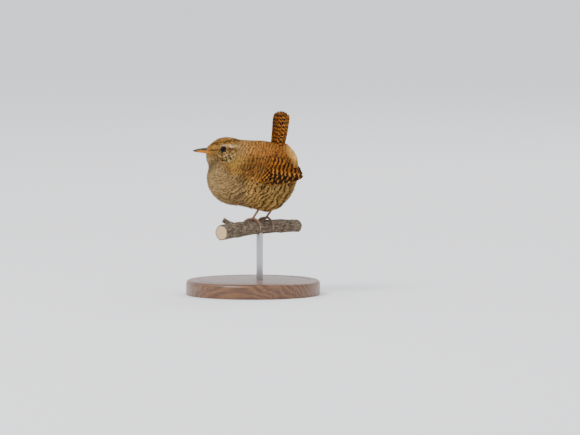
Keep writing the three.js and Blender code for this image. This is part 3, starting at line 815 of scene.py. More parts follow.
def turned_head(points: Array, angle: float) -> Array:
    """Turn points about the upright line through the neck, in the body's own measures."""
    away = points[..., :2] - HEAD_PIVOT
    c, s = math.cos(angle), math.sin(angle)
    x = HEAD_PIVOT[0] + away[..., 0] * c - away[..., 1] * s
    y = HEAD_PIVOT[1] + away[..., 0] * s + away[..., 1] * c
    return np.stack([x, y, points[..., 2]], axis=-1)


def head_place(points: Array) -> Array:
    """From the head's own measures to the model's frame."""
    return turned_head(np.asarray(points, float), HEAD_TURN) + BODY


def head_own(points: Array) -> Array:
    """From the model's frame to the head's own measures."""
    return turned_head(points - BODY, -HEAD_TURN)


def from_bill(points: Array) -> Array:
    """How far points are from the bill's base."""
    return np.linalg.norm(points - head_place(BILL_BASE), axis=-1)


@dataclass
class WingBed:
    """The curved side of the body that a folded wing lies on."""

    bend: tuple[float, float] = (-11, 37)
    tip: tuple[float, float] = (34.2, 30.3)
    middle: float = 31
    height: float = 27
    width: float = 20.8
    fall: float = 0.051
    power: float = 1.6

    @property
    def line(self) -> Array:
        """The unit direction from the wing's bend to its tip."""
        span = np.subtract(self.tip, self.bend)
        return span / np.linalg.norm(span)

    def out(self, x: Array, z: Array) -> Array:
        """How far the bed is from the middle plane."""
        bulge = np.sqrt(np.maximum(1 - ((z - self.middle) / self.height) ** 2, 0.02))
        return (self.width - self.fall * np.abs(x) ** self.power) * bulge

    def shares(self, x: Array, z: Array) -> tuple[Array, Array]:
        """Millimetres along the wing's line and above it."""
        lx, lz = self.line
        dx, dz = x - self.bend[0], z - self.bend[1]
        return dx * lx + dz * lz, dz * lx - dx * lz

    def place(self, along: Array, above: Array, lift: Array, side: Side) -> Array:
        """A point by its place along the wing's line, above it and out from the bed."""
        lx, lz = self.line
        x = self.bend[0] + along * lx - above * lz
        z = self.bend[1] + along * lz + above * lx
        step = 0.05
        slope_x = (self.out(x + step, z) - self.out(x - step, z)) / (2 * step)
        slope_z = (self.out(x, z + step) - self.out(x, z - step)) / (2 * step)
        size = np.sqrt(1 + slope_x**2 + slope_z**2)
        y = self.out(x, z) + lift / size
        x, z = x - slope_x * lift / size, z - slope_z * lift / size
        return np.stack([x, side.value * y, z], axis=-1) + BODY


@dataclass
class Plumage:
    """The outline of the small feathers as a field, below zero inside it."""

    bed: WingBed = field(default_factory=WingBed)
    shoulder: tuple[float, float] = (1.0, 18.3)
    shoulder_slant: float = 0.5
    shoulder_height: tuple[float, float] = (-4.5, 6.5)
    shoulder_rise: float = 3.2
    shoulder_fall: float = 4.6
    shoulder_blend: float = 2.0

    def distance(self, points: Array) -> Array:
        """About how far points are outside the small feathers."""
        own = points - BODY
        trunk = self._melted(TRUNK, own, TRUNK_BLEND)
        head = self._melted(HEAD, head_own(points), HEAD_BLEND)
        return melt(melt(trunk, head, TRUNK_BLEND), self._shoulder(own), self.shoulder_blend)

    @staticmethod
    def _melted(masses: dict[str, Mass], own: Array, blend: float) -> Array:
        """About how far points are outside several masses that run into each other."""
        near = np.full(own.shape[:-1], 1e3)
        for mass in masses.values():
            near = melt(near, mass.distance(own), blend)
        return near

    def _shoulder(self, own: Array) -> Array:
        """The small feathers that lie over the front of the folded wing."""
        along, above = self.bed.shares(own[..., 0], own[..., 2])
        low, high = self.shoulder_height
        front, rear = self.shoulder[0], self.shoulder[1] + self.shoulder_slant * above
        past = ((front - along) / 11, (along - rear) / 7, (low - above) / 9, (above - high) / 6)
        spread = sum(np.maximum(gap, 0) ** 2 for gap in past)
        rise = self.shoulder_rise - self.shoulder_fall * spread
        return (np.abs(own[..., 1]) - self.bed.out(own[..., 0], own[..., 2]) - rise) * 0.9

    def slope(self, points: Array) -> Array:
        """The field's own slope, not of unit length."""
        step = 0.03
        rises = [self.distance(points + way) - self.distance(points - way) for way in np.eye(3) * step]
        return np.stack(rises, axis=-1) / (2 * step)

    def normal(self, points: Array) -> Array:
        """The way straight out of the plumage."""
        return unit(self.slope(points))

    def laid(self, points: Array, level: Array | float, rounds: int = 2) -> Array:
        """Move points straight out or in until the field has a level there."""
        for _ in range(rounds):
            slope = self.slope(points)
            size = np.maximum((slope**2).sum(-1), 0.3)
            move = np.clip((level - self.distance(points)) / size, -3, 3)
            points = points + slope * move[..., None]
        return points


@dataclass
class Eye:
    """One eye with its lids, set in the side of the head."""

    side: Side
    plumage: Plumage
    ball: float = 2.4
    deep: float = 1.5
    opening: float = 1.92
    cornea: float = 0.16
    lid_width: float = 0.17
    lid_thick: float = 0.08

    def __post_init__(self) -> None:
        """Find where the eye comes out of the head, which way it looks and its middle."""
        start = head_place(np.array([EYE_PLACE[0], 0, EYE_PLACE[1]]))
        way = np.array([-math.sin(HEAD_TURN), math.cos(HEAD_TURN), 0]) * self.side.value
        near, far = 0.0, 60.0
        for _ in range(40):
            middle = (near + far) / 2
            if self.plumage.distance((start + way * middle)[None])[0] < 0:
                near = middle
            else:
                far = middle
        self.surface = start + way * near
        self.normal = self.plumage.normal(self.surface[None])[0]
        self.centre = self.surface - self.normal * self.deep
        front = head_place(BILL_BASE) - self.centre
        self.front = unit(front - self.normal * front.dot(self.normal))
        self.up = np.cross(self.normal, self.front) * -self.side.value

    def apart(self, points: Array) -> tuple[Array, Array]:
        """How far points are ahead of the eye's middle, and their way from its line of sight."""
        away = points - self.centre
        ahead = away @ self.normal
        return ahead, away - ahead[:, None] * self.normal

    def _on_ball(self, angle: Array, turn: Array, radius: Array | float) -> Array:
        """A point of a sphere round the eye's middle, by its angle from the way the eye looks."""
        rim = np.sin(angle) * radius
        ahead, above = np.cos(turn) * rim, np.sin(turn) * rim
        straight = (np.cos(angle) * radius)[..., None] * self.normal
        return self.centre + straight + ahead[..., None] * self.front + above[..., None] * self.up

    def build(self, wet: bpy.types.Material, lid: bpy.types.Material) -> None:
        """Make the ball and the lids of this eye.

        Args:
            wet: The eye's material.
            lid: The bare skin's material.
        """
        ball = primitive(f"eyeball_{self.side.word}", "uv_sphere", segments=64, ring_count=40, radius=1)
        unit = points_of(ball) * MM
        angle = np.arccos(np.clip(unit[:, 2], -1, 1))
        turn = np.arctan2(unit[:, 1], unit[:, 0])
        bulge = self.cornea * eased(angle, math.radians(44), math.radians(18))
        set_points(ball, self._on_ball(angle, turn, self.ball + bulge))
        outward(ball)
        set_values(ball, {"ring": np.sin(angle) * (angle < math.pi / 2) + (angle >= math.pi / 2)})
        smooth(ball, 80)
        finish(ball, wet, "eye", (f"eye_{self.side.word}",))

        rims = rolled(f"lids_{self.side.word}", 96, 14, self._lid_points)
        finish(rims, lid, "plumage_back")

    def _lid_points(self, along: Array, around: Array) -> Array:
        """The lids as one soft ring that tightens to a corner in front and behind."""
        turn, loop = TURN * along, TURN * around
        corner = np.abs(np.cos(turn)) ** 10 * 0.14
        droop = 0.05 * np.sin(turn)
        ring = self.opening + corner - droop + self.lid_width / 2 * (1 - np.cos(loop))
        fold = 0.006 * np.sin(29 * turn + 2 * np.sin(3 * turn)) * np.sin(loop / 2) ** 2
        high = self.lid_thick * np.sin(loop) + 0.02 + fold
        skirt = (0.5 - 0.5 * np.cos(loop)) ** 3
        angle = np.arcsin(np.clip((ring + 0.3 * skirt) / (self.ball + 0.2), 0, 0.999))
        points = self._on_ball(angle, turn, self.ball + 0.08 + high)
        level = np.minimum(self.plumage.distance(points), -0.1)
        under = self.plumage.laid(points, np.maximum(level, -0.22 + 0.1 * np.sin(loop)), 2)
        return points + (under - points) * skirt[:, None]


# The marks on the bird, and the shade painted on it


def ripple(points: Array, size: float) -> Array:
    """Smooth unevenness from -1 to 1, whose waves are about size millimetres long."""
    q = points * (TURN / size)
    x, y, z = q[..., 0], q[..., 1], q[..., 2]
    first = np.sin(x + 1.7 * np.sin(0.61 * z + 0.37 * y) + 0.3)
    second = np.sin(0.83 * z + 1.5 * np.sin(0.57 * x - 0.41 * y) + 1.1)
    third = np.sin(0.71 * y + 0.5 * x - 0.63 * z + 2.3)
    return (first * second + 0.6 * third) / 1.3


def patch(across: Array, up: Array, half: tuple[float, float], edge: tuple[float, float]) -> Array:
    """A soft oval, by measures across and up from its middle, its half sizes and its edge's shares."""
    return eased(np.hypot(across / half[0], up / half[1]), *edge)


@dataclass
class Places:
    """Points in the body's and the head's own measures, with both sides of the bird as one."""

    points: Array

    def __post_init__(self) -> None:
        """Work out the measures, the unevenness that breaks up each mark, and where the head is."""
        own, head = self.points - BODY, head_own(self.points)
        self.x, self.y, self.z = own[..., 0], np.abs(own[..., 1]), own[..., 2]
        self.hx, self.hy, self.hz = head[..., 0], np.abs(head[..., 1]), head[..., 2]
        self.fine, self.broad = ripple(own, 2.1), ripple(own, 5.5)
        self.head = eased(self.hx, -7.5, -13.0) * eased(self.hz, 35, 39)
        self.lateral = eased(self.hy, 2.0, 3.8)


@dataclass
class Marks:
    """Where the small feathers are pale, dark, rufous, buff or barred, and where shade is painted on them.

    Each line gives a height or a strength for places along the bird, in its own measures.
    """

    brow: Line = ((-31, 48.8), (-27.5, 49.8), (-22.3, 50.5), (-14, 50.2), (-6, 48.8))
    brow_width: Line = ((-31, 0.4), (-26, 0.45), (-21, 0.65), (-16, 0.85), (-8, 0.7))
    brow_strength: Line = ((-31.5, 0), (-29, 0.5), (-24, 0.6), (-20, 0.95), (-14, 0.8), (-9, 0))
    crown_edge: Line = ((-31, 51.2), (-14, 53.8))
    eye_stripe: Line = ((-32, 46.8), (-26, 47.3), (-21, 48.1), (-12, 48.1))
    wing_edge: Line = ((12, 45.8), (23, 41.6))
    shore: Line = (
        (-36, 45.2),
        (-29, 43.2),
        (-22, 38.6),
        (-12, 31.5),
        (-2, 27.5),
        (8, 25.5),
        (20, 25.5),
        (28, 28),
    )
    warmth: Line = ((-34, 0.08), (-20, 0.1), (-4, 0.3), (12, 0.75), (20, 1.0))
    barred: Line = ((-30, 0.25), (-18, 0.7), (-8, 0.85), (6, 0.9), (16, 0.95))
    rear_strength: Line = ((28, 0.1), (36, 0.7), (43, 1.0))
    bar_gap: Line = ((22, 2.5), (34, 2.05))

    def at(self, points: Array) -> dict[str, Array]:
        """Read the marks.

        Args:
            points: Where, in the model's frame.

        Returns:
            One array for each mark by name, of 0 to 1 but for the bars, which count in cycles.
        """
        p = Places(points)
        x, y, z = p.x, p.y, p.z
        brow = self._brow(p)
        ear = patch(p.hx + 20.5, p.hz - 43.6, (9.0, 5.2), (1.15, 0.7)) * p.lateral
        fleck = self._fleck(p)
        # Painted shade on the breast side below the neck and on the patch below it: these two patches only
        # darken the feathers as shade.
        side = patch(x + 1.5, z - 36.0, (7.0, 5.5), (1.25, 0.4)) * eased(y, 9, 12)
        lower_breast_shade = patch(x + 5.0, z - 28.5, (5.0, 5.0), (1.2, 0.5)) * eased(y, 9, 12)
        along, above = WingBed().shares(x, z)
        shoulder = eased(along, 4, 13) * eased(above, 11, 8) * eased(above, -7, -4) * eased(y, 9, 12)

        pale = [brow, self._eye_ring(p), eased(p.hz, 44.0, 42.0) * eased(p.hx, -19, -27) * 0.25]
        pale.append(ear * eased(fleck, 0.12, 0.45) * 0.72)
        # The dark mark holds the plumage's dark markings and also painted shade: the shadow under the wing's
        # upper edge and the shaded breast side.
        dark = [self._crown(p), self._eye_stripe(p), self._wing_seam(p)]
        dark += [side * 0.3, ear * eased(fleck, 0.0, -0.35)]
        rear = eased(x + 1.0 * p.fine + 0.5 * (z - 48), 20.2, 23.6) * read(self.rear_strength, z)
        shore = read(self.shore, x) + p.broad
        under = eased(z, shore + 3.0, shore - 3.0) * (1 - eased(x, 20, 25) * eased(z, 30, 36))
        barring = np.maximum(read(self.barred, x), eased(x, -9, 8) * eased(z, 31, 24))
        barring = np.maximum(barring * (1 - p.head), shoulder) * (1 - 0.8 * rear)
        # Painted shade, as a darker value: the breast side and the patch below it, the shoulder under the
        # wing's bend and the lower body. The same mark also darkens the whole head and the body toward the
        # tail.
        shade = [p.head * eased(p.hx, -34, -30) * 0.45, side * 0.95, lower_breast_shade * 0.88, shoulder * 0.8]
        shade += [eased(x, -2, 10) * eased(z, 32, 22) * 0.36, eased(x, 10, 16) * 0.22]
        marks = {
            "pale": np.maximum.reduce(pale),
            "dark": np.maximum.reduce(dark) * (1 - brow),
            "under": under,
            "flank": eased(x, -12, 4) * eased(z, 44, 32),
            "neck": patch(x + 12, z - 41, (9, 6.5), (1.2, 0.4)) * eased(y, 5, 9),
            "nape": patch(p.hx + 11, p.hz - 47.5, (7.5, 6.5), (1.2, 0.3)) * eased(p.hy, 2, 5) * 0.5,
            "buff": rear,
            "shade": np.maximum.reduce(shade) * (1 - rear) * (1 - 0.6 * brow),
            "rufous": np.maximum(read(self.warmth, x), shoulder * 0.6),
            "mottled": 0.4 + 0.25 * p.head,
            "barring": barring,
        }
        return {name: np.clip(mark, 0, 1) for name, mark in marks.items()} | {"bars": self.bars(points)}

    def bars(self, points: Array) -> Array:
        """The bars' measure, in cycles away from the bill."""
        own = points - BODY
        x, z = own[..., 0], own[..., 2]
        waver = 0.2 * ripple(own, 5) + 0.5 * ripple(own + 20, 16)
        return (np.hypot(x + 30, z - 48) - 42) / read(self.bar_gap, z) + waver

    def _brow(self, p: Places) -> Array:
        """The pale line over the eye."""
        off = np.abs(p.hz - read(self.brow, p.hx) + 0.25 * p.fine)
        wide = read(self.brow_width, p.hx)
        strength = read(self.brow_strength, p.hx) * (0.72 + 0.42 * p.fine)
        return eased(off, wide * 1.5, wide * 0.6) * p.lateral * strength

    @staticmethod
    def _eye_ring(p: Places) -> Array:
        """The broken pale ring round the eye, clearer below it."""
        from_eye = np.hypot(p.hx - EYE_PLACE[0], p.hz - EYE_PLACE[1])
        ring = eased(np.abs(from_eye - 2.5), 0.6, 0.25) * p.lateral * eased(p.fine, -0.5, 0.2)
        return ring * (0.35 + 0.4 * eased(p.hz, 48.5, 46.5))

    @staticmethod
    def _fleck(p: Places) -> Array:
        """Pale and dark flecks in rays from the bill's corner over the cheek."""
        ray = np.arctan2(p.hz - 46, -33.5 - p.hx) * 34 + 1.4 * p.fine
        reach = np.hypot(p.hx + 33.5, p.hz - 46) * 1.7 + 1.8 * p.broad
        return np.sin(ray) * np.sin(reach) + 0.3 * p.fine

    def _crown(self, p: Places) -> Array:
        """The dark edge of the crown, and the fine streaks on top."""
        off = np.abs(p.hz - read(self.crown_edge, p.hx) + 0.3 * p.fine)
        edge = eased(off, 1.0, 0.35) * p.lateral * eased(p.hx, -9, -13) * 0.8
        streaks = eased(np.sin(p.hy * 4.6 + 1.6 * p.fine), 0.0, 0.9) * (0.45 + 0.25 * p.fine) + 0.14
        return np.maximum(edge, streaks * eased(p.hz, 49.5, 52) * p.head)

    def _eye_stripe(self, p: Places) -> Array:
        """The dark stripe behind the eye and the thin one before it."""
        gap = np.abs(p.hz - read(self.eye_stripe, p.hx) + 0.25 * p.fine)
        behind = eased(gap, 1.3, 0.45) * eased(p.hx, -10.5, -14) * eased(p.hx, -20.8, -19.6)
        before = eased(gap, 0.7, 0.2) * eased(p.hx, -24.2, -25.1) * eased(p.hx, -33, -31) * 0.9
        return np.maximum(behind * (0.75 + 0.35 * p.fine), before) * p.lateral

    def _wing_seam(self, p: Places) -> Array:
        """The shadow where the wing's upper edge lies on the back."""
        seam = eased(np.abs(p.z - read(self.wing_edge, p.x) + 0.3 * p.fine), 1.1, 0.2)
        return seam * eased(p.x, 11, 14) * eased(p.x, 26, 23) * eased(p.y, 6, 9) * 0.55


# Skin


@dataclass
class Skin:
    """One closed skin below the small feathers of the head, neck and body."""

    plumage: Plumage
    marks: Marks
    eyes: tuple[Eye, Eye]
    voxel: float = 0.62
    depths: Line = ((0, 0.35), (4, 0.55), (12, 1.0), (24, 1.7), (40, 2.1))

    def depth(self, points: Array) -> Array:
        """How far the skin lies below the feather tips: least on the face, most on the body."""
        deep = read(self.depths, from_bill(points))
        for eye in self.eyes:
            gap = np.linalg.norm(points - eye.surface, axis=-1)
            deep = np.minimum(deep, 0.3 + 0.22 * np.maximum(gap - 1.5, 0))
        return deep

    def build(self, material: bpy.types.Material) -> bpy.types.Object:
        """Join a ball for each mass, make one skin of them and lay it under the plumage.

        Args:
            material: What the skin wears.

        Returns:
            The skin.
        """
        balls = []
        for group, place in ((TRUNK, lambda p: p + BODY), (HEAD, head_place)):
            for name, mass in group.items():
                ball = primitive(name, "uv_sphere", segments=40, ring_count=24, radius=1)
                set_points(ball, place(points_of(ball) * MM * np.array(mass.half) + np.array(mass.at)))
                balls.append(ball)
        skin = joined("skin", balls)
        modify(skin, "REMESH", mode="VOXEL", voxel_size=self.voxel * MM)
        for _ in range(2):
            edit(skin, partial(bpy.ops.mesh.vertices_smooth, factor=0.5, repeat=3))
            points = points_of(skin)
            set_points(skin, self.plumage.laid(points, -self.depth(points), 3))
        points = points_of(skin)
        for eye in self.eyes:
            points = self._cupped(points, eye)
        set_points(skin, points)
        smooth(skin, 80)
        blank = np.zeros(len(points))
        feather = {"chance": blank + 0.4, "along": blank + 0.6, "across": blank}
        set_values(skin, self.marks.at(points) | feather)
        return finish(skin, material, "plumage_breast", ("head", "neck", "torso"))

    @staticmethod
    def _cupped(points: Array, eye: Eye) -> Array:
        """Press the skin into a cup behind an eye."""
        ahead, flat = eye.apart(points)
        radius = np.linalg.norm(flat, axis=1)
        reach = eye.ball + 0.14
        inside = (radius < reach * 0.86) & (ahead > -0.5) & (ahead < 4)
        cup = -np.sqrt(np.maximum(reach**2 - radius**2, 0.01))
        pressed = eye.centre + flat + cup[:, None] * eye.normal
        return np.where(inside[:, None], pressed, points)


# Small feathers


@dataclass(frozen=True)
class Cut:
    """A small feather as a closed vane whose end is split into pointed barbs.

    It strays from the lie of the plumage by an angle, and a loose one is raised over its neighbours.
    """

    barbs: int
    rows: tuple[float, float]
    widths: tuple[float, float]
    spread: float = 0.92
    stray: float = 0.13
    longer: float = 1.0
    slimmer: float = 1.0
    raised: tuple[float, float] | None = None

    def shape(self) -> dict[str, Array]:
        """The vane's vertices by share along, share across, width, face and tip, and its triangles."""
        n = self.barbs
        rows = [(0.0, 0.0, 0.0, 0.0, False)]
        top, bottom = [], []
        for share, width in zip(self.rows, self.widths):
            upper, lower = [], []
            for k in range(n + 1):
                rim = k in (0, n)
                upper.append(len(rows))
                rows.append((share, 2 * k / n - 1, width, 0.0 if rim else 1.0, False))
                lower.append(upper[-1] if rim else len(rows))
                if not rim:
                    rows.append((share, 2 * k / n - 1, width, -1.0, False))
            top.append(upper)
            bottom.append(lower)
        tips = [len(rows) + k for k in range(n)]
        rows += [(1.0, (2 * k + 1) / n - 1, self.spread, 0.0, True) for k in range(n)]
        faces = []
        for k in range(n):
            faces += [(0, top[0][k], top[0][k + 1]), (0, bottom[0][k + 1], bottom[0][k])]
            a, b, c, d = top[0][k], top[1][k], top[1][k + 1], top[0][k + 1]
            faces += [(a, b, c), (a, c, d)]
            a, b, c, d = bottom[0][k], bottom[1][k], bottom[1][k + 1], bottom[0][k + 1]
            faces += [(a, c, b), (a, d, c)]
            upper, lower, tip = top[1], bottom[1], tips[k]
            faces += [(upper[k], tip, upper[k + 1]), (lower[k], lower[k + 1], tip)]
            if k > 0:
                faces.append((upper[k], lower[k], tip))
            if k + 1 < n:
                faces.append((upper[k + 1], tip, lower[k + 1]))
        names = ("along", "across", "width", "face", "tip")
        shape = dict(zip(names, np.array(rows, float).T))
        return shape | {"tip": shape["tip"] > 0, "triangles": np.array(faces)}


class Region(Enum):
    """A part of the coat, which is a piece of its own."""

    FACE = "face"
    HEAD_LEFT = "head_left"
    HEAD_RIGHT = "head_right"
    NAPE = "nape"
    BACK = "back"
    BREAST_LEFT = "breast_left"
    BREAST_RIGHT = "breast_right"
    BELLY = "belly"
    FLANK_LEFT = "flank_left"
    FLANK_RIGHT = "flank_right"

    @property
    def slot(self) -> str:
        """The material slot of this part."""
        upper = (Region.FACE, Region.HEAD_LEFT, Region.HEAD_RIGHT, Region.NAPE, Region.BACK)
        return "plumage_back" if self in upper else "plumage_breast"


@dataclass
class Coat:
    """The small feathers of the whole bird, laid over the skin along the lie of the plumage."""

    plumage: Plumage
    marks: Marks
    skin: Skin
    fine: Cut = Cut(9, (0.28, 0.64), (0.78, 1.0))
    plain: Cut = Cut(11, (0.3, 0.66), (0.78, 1.0))
    loose: Cut = Cut(
        7, (0.22, 0.42), (0.6, 0.8), 1.5, stray=0.32, longer=1.25, slimmer=0.75, raised=(0.15, 0.85)
    )
    lengths: Line = ((0, 0.85), (5, 1.3), (13, 2.3), (23, 3.4), (36, 4.8), (60, 5.8))
    gaps: Line = ((0, 0.24), (5, 0.31), (13, 0.45), (23, 0.60), (36, 0.80), (60, 0.92))
    eye_share: float = 0.42
    eye_reach: float = 3.2
    crowd: int = 11
    loose_count: int = 1500

    def build(self, body: bpy.types.Object, material: bpy.types.Material) -> None:
        """Scatter the feathers over the skin and make one piece of each region.

        Args:
            body: The finished skin.
            material: What the feathers wear.
        """
        rng = np.random.default_rng(SEED)
        roots = self._roots(body, rng)
        roots = roots[self._wanted(roots)]
        regions = self._regions(roots)
        for region in Region:
            own = roots[regions == region.value]
            cut = self.fine if region in (Region.FACE, Region.HEAD_LEFT, Region.HEAD_RIGHT) else self.plain
            self._piece(f"coat_{region.value}", own, cut, rng, material, region.slot)
        self._piece("coat_loose", self._loose_roots(roots, rng), self.loose, rng, material, "plumage_breast")

    def _roots(self, body: bpy.types.Object, rng: np.random.Generator) -> Array:
        """Roots on the skin, closer together where feathers are small."""
        mesh = body.data
        mesh.calc_loop_triangles()
        corners = np.empty(len(mesh.loop_triangles) * 3, np.int32)
        mesh.loop_triangles.foreach_get("vertices", corners)
        a, b, c = (points_of(body)[corners.reshape(-1, 3)[:, i]] for i in range(3))
        area = np.linalg.norm(np.cross(b - a, c - a), axis=1) / 2
        gap = self._gap((a + b + c) / 3)
        weight = area / gap**2
        count = int(weight.sum() * self.crowd)
        chosen = rng.choice(len(a), count, p=weight / weight.sum())
        u, v = np.sqrt(rng.random(count))[:, None], rng.random(count)[:, None]
        spots = a[chosen] * (1 - u) + b[chosen] * (u * (1 - v)) + c[chosen] * (u * v)
        reach = self._gap(spots)
        tree = KDTree(count)
        for i, spot in enumerate(spots):
            tree.insert(spot, i)
        tree.balance()
        free = np.ones(count, bool)
        kept = []
        for i in range(count):
            if free[i]:
                kept.append(i)
                for _, other, _ in tree.find_range(spots[i], reach[i]):
                    free[other] = False
        return self.plumage.laid(spots[kept], -self.skin.depth(spots[kept]))

    def _gap(self, points: Array) -> Array:
        """The least distance between roots."""
        return read(self.gaps, from_bill(points)) * self._by_eye(points)

    def _by_eye(self, points: Array) -> Array:
        """How much smaller the feathers are close to an eye."""
        share = np.ones(points.shape[:-1])
        for eye in self.skin.eyes:
            away = np.linalg.norm(points - eye.surface, axis=-1) - eye.opening
            grown = eased(away, 0.2, self.eye_reach)
            share = np.minimum(share, self.eye_share + (1 - self.eye_share) * grown)
        return share

    def _wanted(self, roots: Array) -> Array:
        """Whether a root is clear of the bill, the eyes and the flight feathers."""
        own, head = roots - BODY, head_own(roots)
        on_bill = (head[:, 0] < -33.3) & (np.abs(head[:, 1]) < 2.2) & (np.abs(head[:, 2] - 46.1) < 1.5)
        wanted = ~on_bill
        for eye in self.skin.eyes:
            ahead, flat = eye.apart(roots)
            wanted &= (np.linalg.norm(flat, axis=1) > eye.opening + 0.14) | (ahead < -1)
        along, above = self.plumage.bed.shares(own[:, 0], own[:, 2])
        hidden = (along > 25) & (along < 34) & (above > -3) & (above < 4) & (np.abs(own[:, 1]) > 9)
        return wanted & ~hidden

    def _regions(self, roots: Array) -> Array:
        """The region's name for each root."""
        own = roots - BODY
        normal = self.plumage.normal(roots)
        near = from_bill(roots)
        x, y, z = own.T
        named = np.where(y < 0, Region.FLANK_LEFT.value, Region.FLANK_RIGHT.value).astype(object)
        named[normal[:, 2] > 0.45] = Region.BACK.value
        named[(normal[:, 2] < -0.6) & (x > -18)] = Region.BELLY.value
        named[(x < -12) & (z < 40) & (y < 0)] = Region.BREAST_LEFT.value
        named[(x < -12) & (z < 40) & (y >= 0)] = Region.BREAST_RIGHT.value
        named[(x < -4) & (z >= 40)] = Region.NAPE.value
        side = head_own(roots)[:, 1]
        named[(near < 17.5) & (side < 0)] = Region.HEAD_LEFT.value
        named[(near < 17.5) & (side >= 0)] = Region.HEAD_RIGHT.value
        named[near < 8] = Region.FACE.value
        return named

    def lie(self, points: Array, normal: Array) -> Array:
        """Which way feathers point: from the bill over the body to the tail, and round the eyes."""
        source = head_place(BILL_BASE + np.array([-3.0, 0, 0.4]))
        sink = BODY + np.array([19.0, 0, 57.0])
        away, toward = points - source, sink - points
        flow = away / (away**2).sum(-1, keepdims=True)
        flow = flow + 0.55 * toward / (toward**2).sum(-1, keepdims=True)
        own = points - BODY
        droop = normal[..., 1] ** 2 * eased(own[..., 2], 42, 34) * eased(own[..., 0], -18, -6)
        flow[..., 2] -= 0.013 * droop
        for eye in self.skin.eyes:
            gap = points - eye.surface
            size = np.linalg.norm(gap, axis=-1, keepdims=True)
            flow = flow + 0.13 * np.exp(-((size / 3.0) ** 2)) * gap / np.maximum(size, 0.2)
        return unit(flow - normal * (flow * normal).sum(-1, keepdims=True))

    def _loose_roots(self, roots: Array, rng: np.random.Generator) -> Array:
        """Roots of the loose fluffy feathers of the flanks, vent and belly."""
        own = roots - BODY
        along, above = self.plumage.bed.shares(own[:, 0], own[:, 2])
        rear = eased(own[:, 0], 8, 22) * eased(own[:, 2], 56, 50) + eased(own[:, 2], 22, 12) * 0.7
        rear = rear * ~((along > 10) & (above > -4) & (above < 6) & (np.abs(own[:, 1]) > 8)) + 1e-9
        chosen = rng.choice(len(roots), self.loose_count, replace=False, p=rear / rear.sum())
        return roots[chosen] + rng.normal(0, 0.25, (self.loose_count, 3))

    def _piece(
        self,
        name: str,
        roots: Array,
        cut: Cut,
        rng: np.random.Generator,
        material: bpy.types.Material,
        slot: str,
    ) -> None:
        """Make one piece of coat.

        Args:
            name: Its name.
            roots: Where its feathers grow.
            cut: Its kind of feather.
            rng: The source of its small differences.
            material: What it wears.
            slot: The material slot, which is not used.
        """
        shape = cut.shape()
        count, vertices = len(roots), len(shape["along"])
        size = (count, vertices)
        normal = self.plumage.normal(roots)
        ahead = self.lie(roots, normal)
        turn = rng.normal(0, cut.stray, count)[:, None]
        ahead = ahead * np.cos(turn) + np.cross(normal, ahead) * np.sin(turn)
        length = read(self.lengths, from_bill(roots)) * rng.uniform(0.84, 1.18, count)
        length = self._clear_of_eyes(roots, ahead, length * self._by_eye(roots) * cut.longer)
        half = np.maximum(length * rng.uniform(0.27, 0.33, count) * cut.slimmer, 0.12)

        across = np.broadcast_to(shape["across"], size)
        barb = np.where(shape["tip"], 1 - 0.24 * rng.random(size), 1)
        along = shape["along"] * (1 - 0.26 * across**2) * barb
        sway = np.where(shape["tip"], rng.normal(0, 0.1, size), 0)
        offset = (across * shape["width"] + sway) * half[:, None]
        points = roots[:, None] + ahead[:, None] * (along * length[:, None])[..., None]
        points = points + np.cross(normal, ahead)[:, None] * offset[..., None]
        points = self.plumage.laid(points, self._levels(roots, cut, shape, along, length, half, rng), 3)

        triangles = (np.arange(count) * vertices)[:, None, None] + shape["triangles"]
        piece = mesh_from(name, points.reshape(-1, 3), triangles.reshape(-1, 3))
        end = int(np.argmax(shape["along"] + (np.abs(shape["across"]) < 0.2)))
        seen = points * 0.4 + points[:, end, None] * 0.6
        chance = np.repeat(rng.random(count)[:, None], vertices, 1)
        values = self.marks.at(seen) | {"bars": self.marks.bars(points), "chance": chance}
        values |= {"along": along, "across": across}
        set_values(piece, {key: numbers.ravel() for key, numbers in values.items()})
        set_bake_map(piece, self._unwrapped(roots, along, across))
        smooth(piece, 50)
        finish(piece, material, slot)

    def _levels(
        self,
        roots: Array,
        cut: Cut,
        shape: dict[str, Array],
        along: Array,
        length: Array,
        half: Array,
        rng: np.random.Generator,
    ) -> Array:
        """How far out each vertex lies, from the root on the skin to the tip on the outline.

        Args:
            roots: Where the feathers grow.
            cut: Their kind.
            shape: The kind's vertices.
            along: Each vertex's share of its feather's length.
            length: Each feather's length.
            half: Half of each feather's width.
            rng: The source of their small differences.

        Returns:
            One level a vertex, as the plumage's field has it.
        """
        near, low = from_bill(roots), -self.skin.depth(roots)
        rise = rng.normal(0.02, 0.05, len(roots))
        if cut.raised:
            rise = rise + rng.uniform(*cut.raised, len(roots))
        rise = np.where(near < 20, rise * 0.5, rise)
        thick = np.interp(near, [0, 40], [0.035, 0.09])
        camber = 0.16 * (half / 1.8)[:, None] * (1 - shape["across"] ** 2) * along
        level = low[:, None] + (rise - low)[:, None] * along**0.75 + camber
        level = level + shape["face"] * (thick / 2)[:, None]
        return level + np.where(shape["tip"], rng.normal(0, 0.06, along.shape) * length[:, None] / 6, 0)

    def _clear_of_eyes(self, roots: Array, ahead: Array, length: Array) -> Array:
        """Shorten the feathers that would reach over an eye."""
        length = length.copy()
        for eye in self.skin.eyes:
            for share in np.linspace(0.2, 1.15, 14):
                before, flat = eye.apart(roots + ahead * (length * share)[:, None])
                over = (np.linalg.norm(flat, axis=1) < eye.opening + 0.12) & (before > 0)
                length = np.where(over, np.maximum(length * share * 0.9, 0.22), length)
        return length

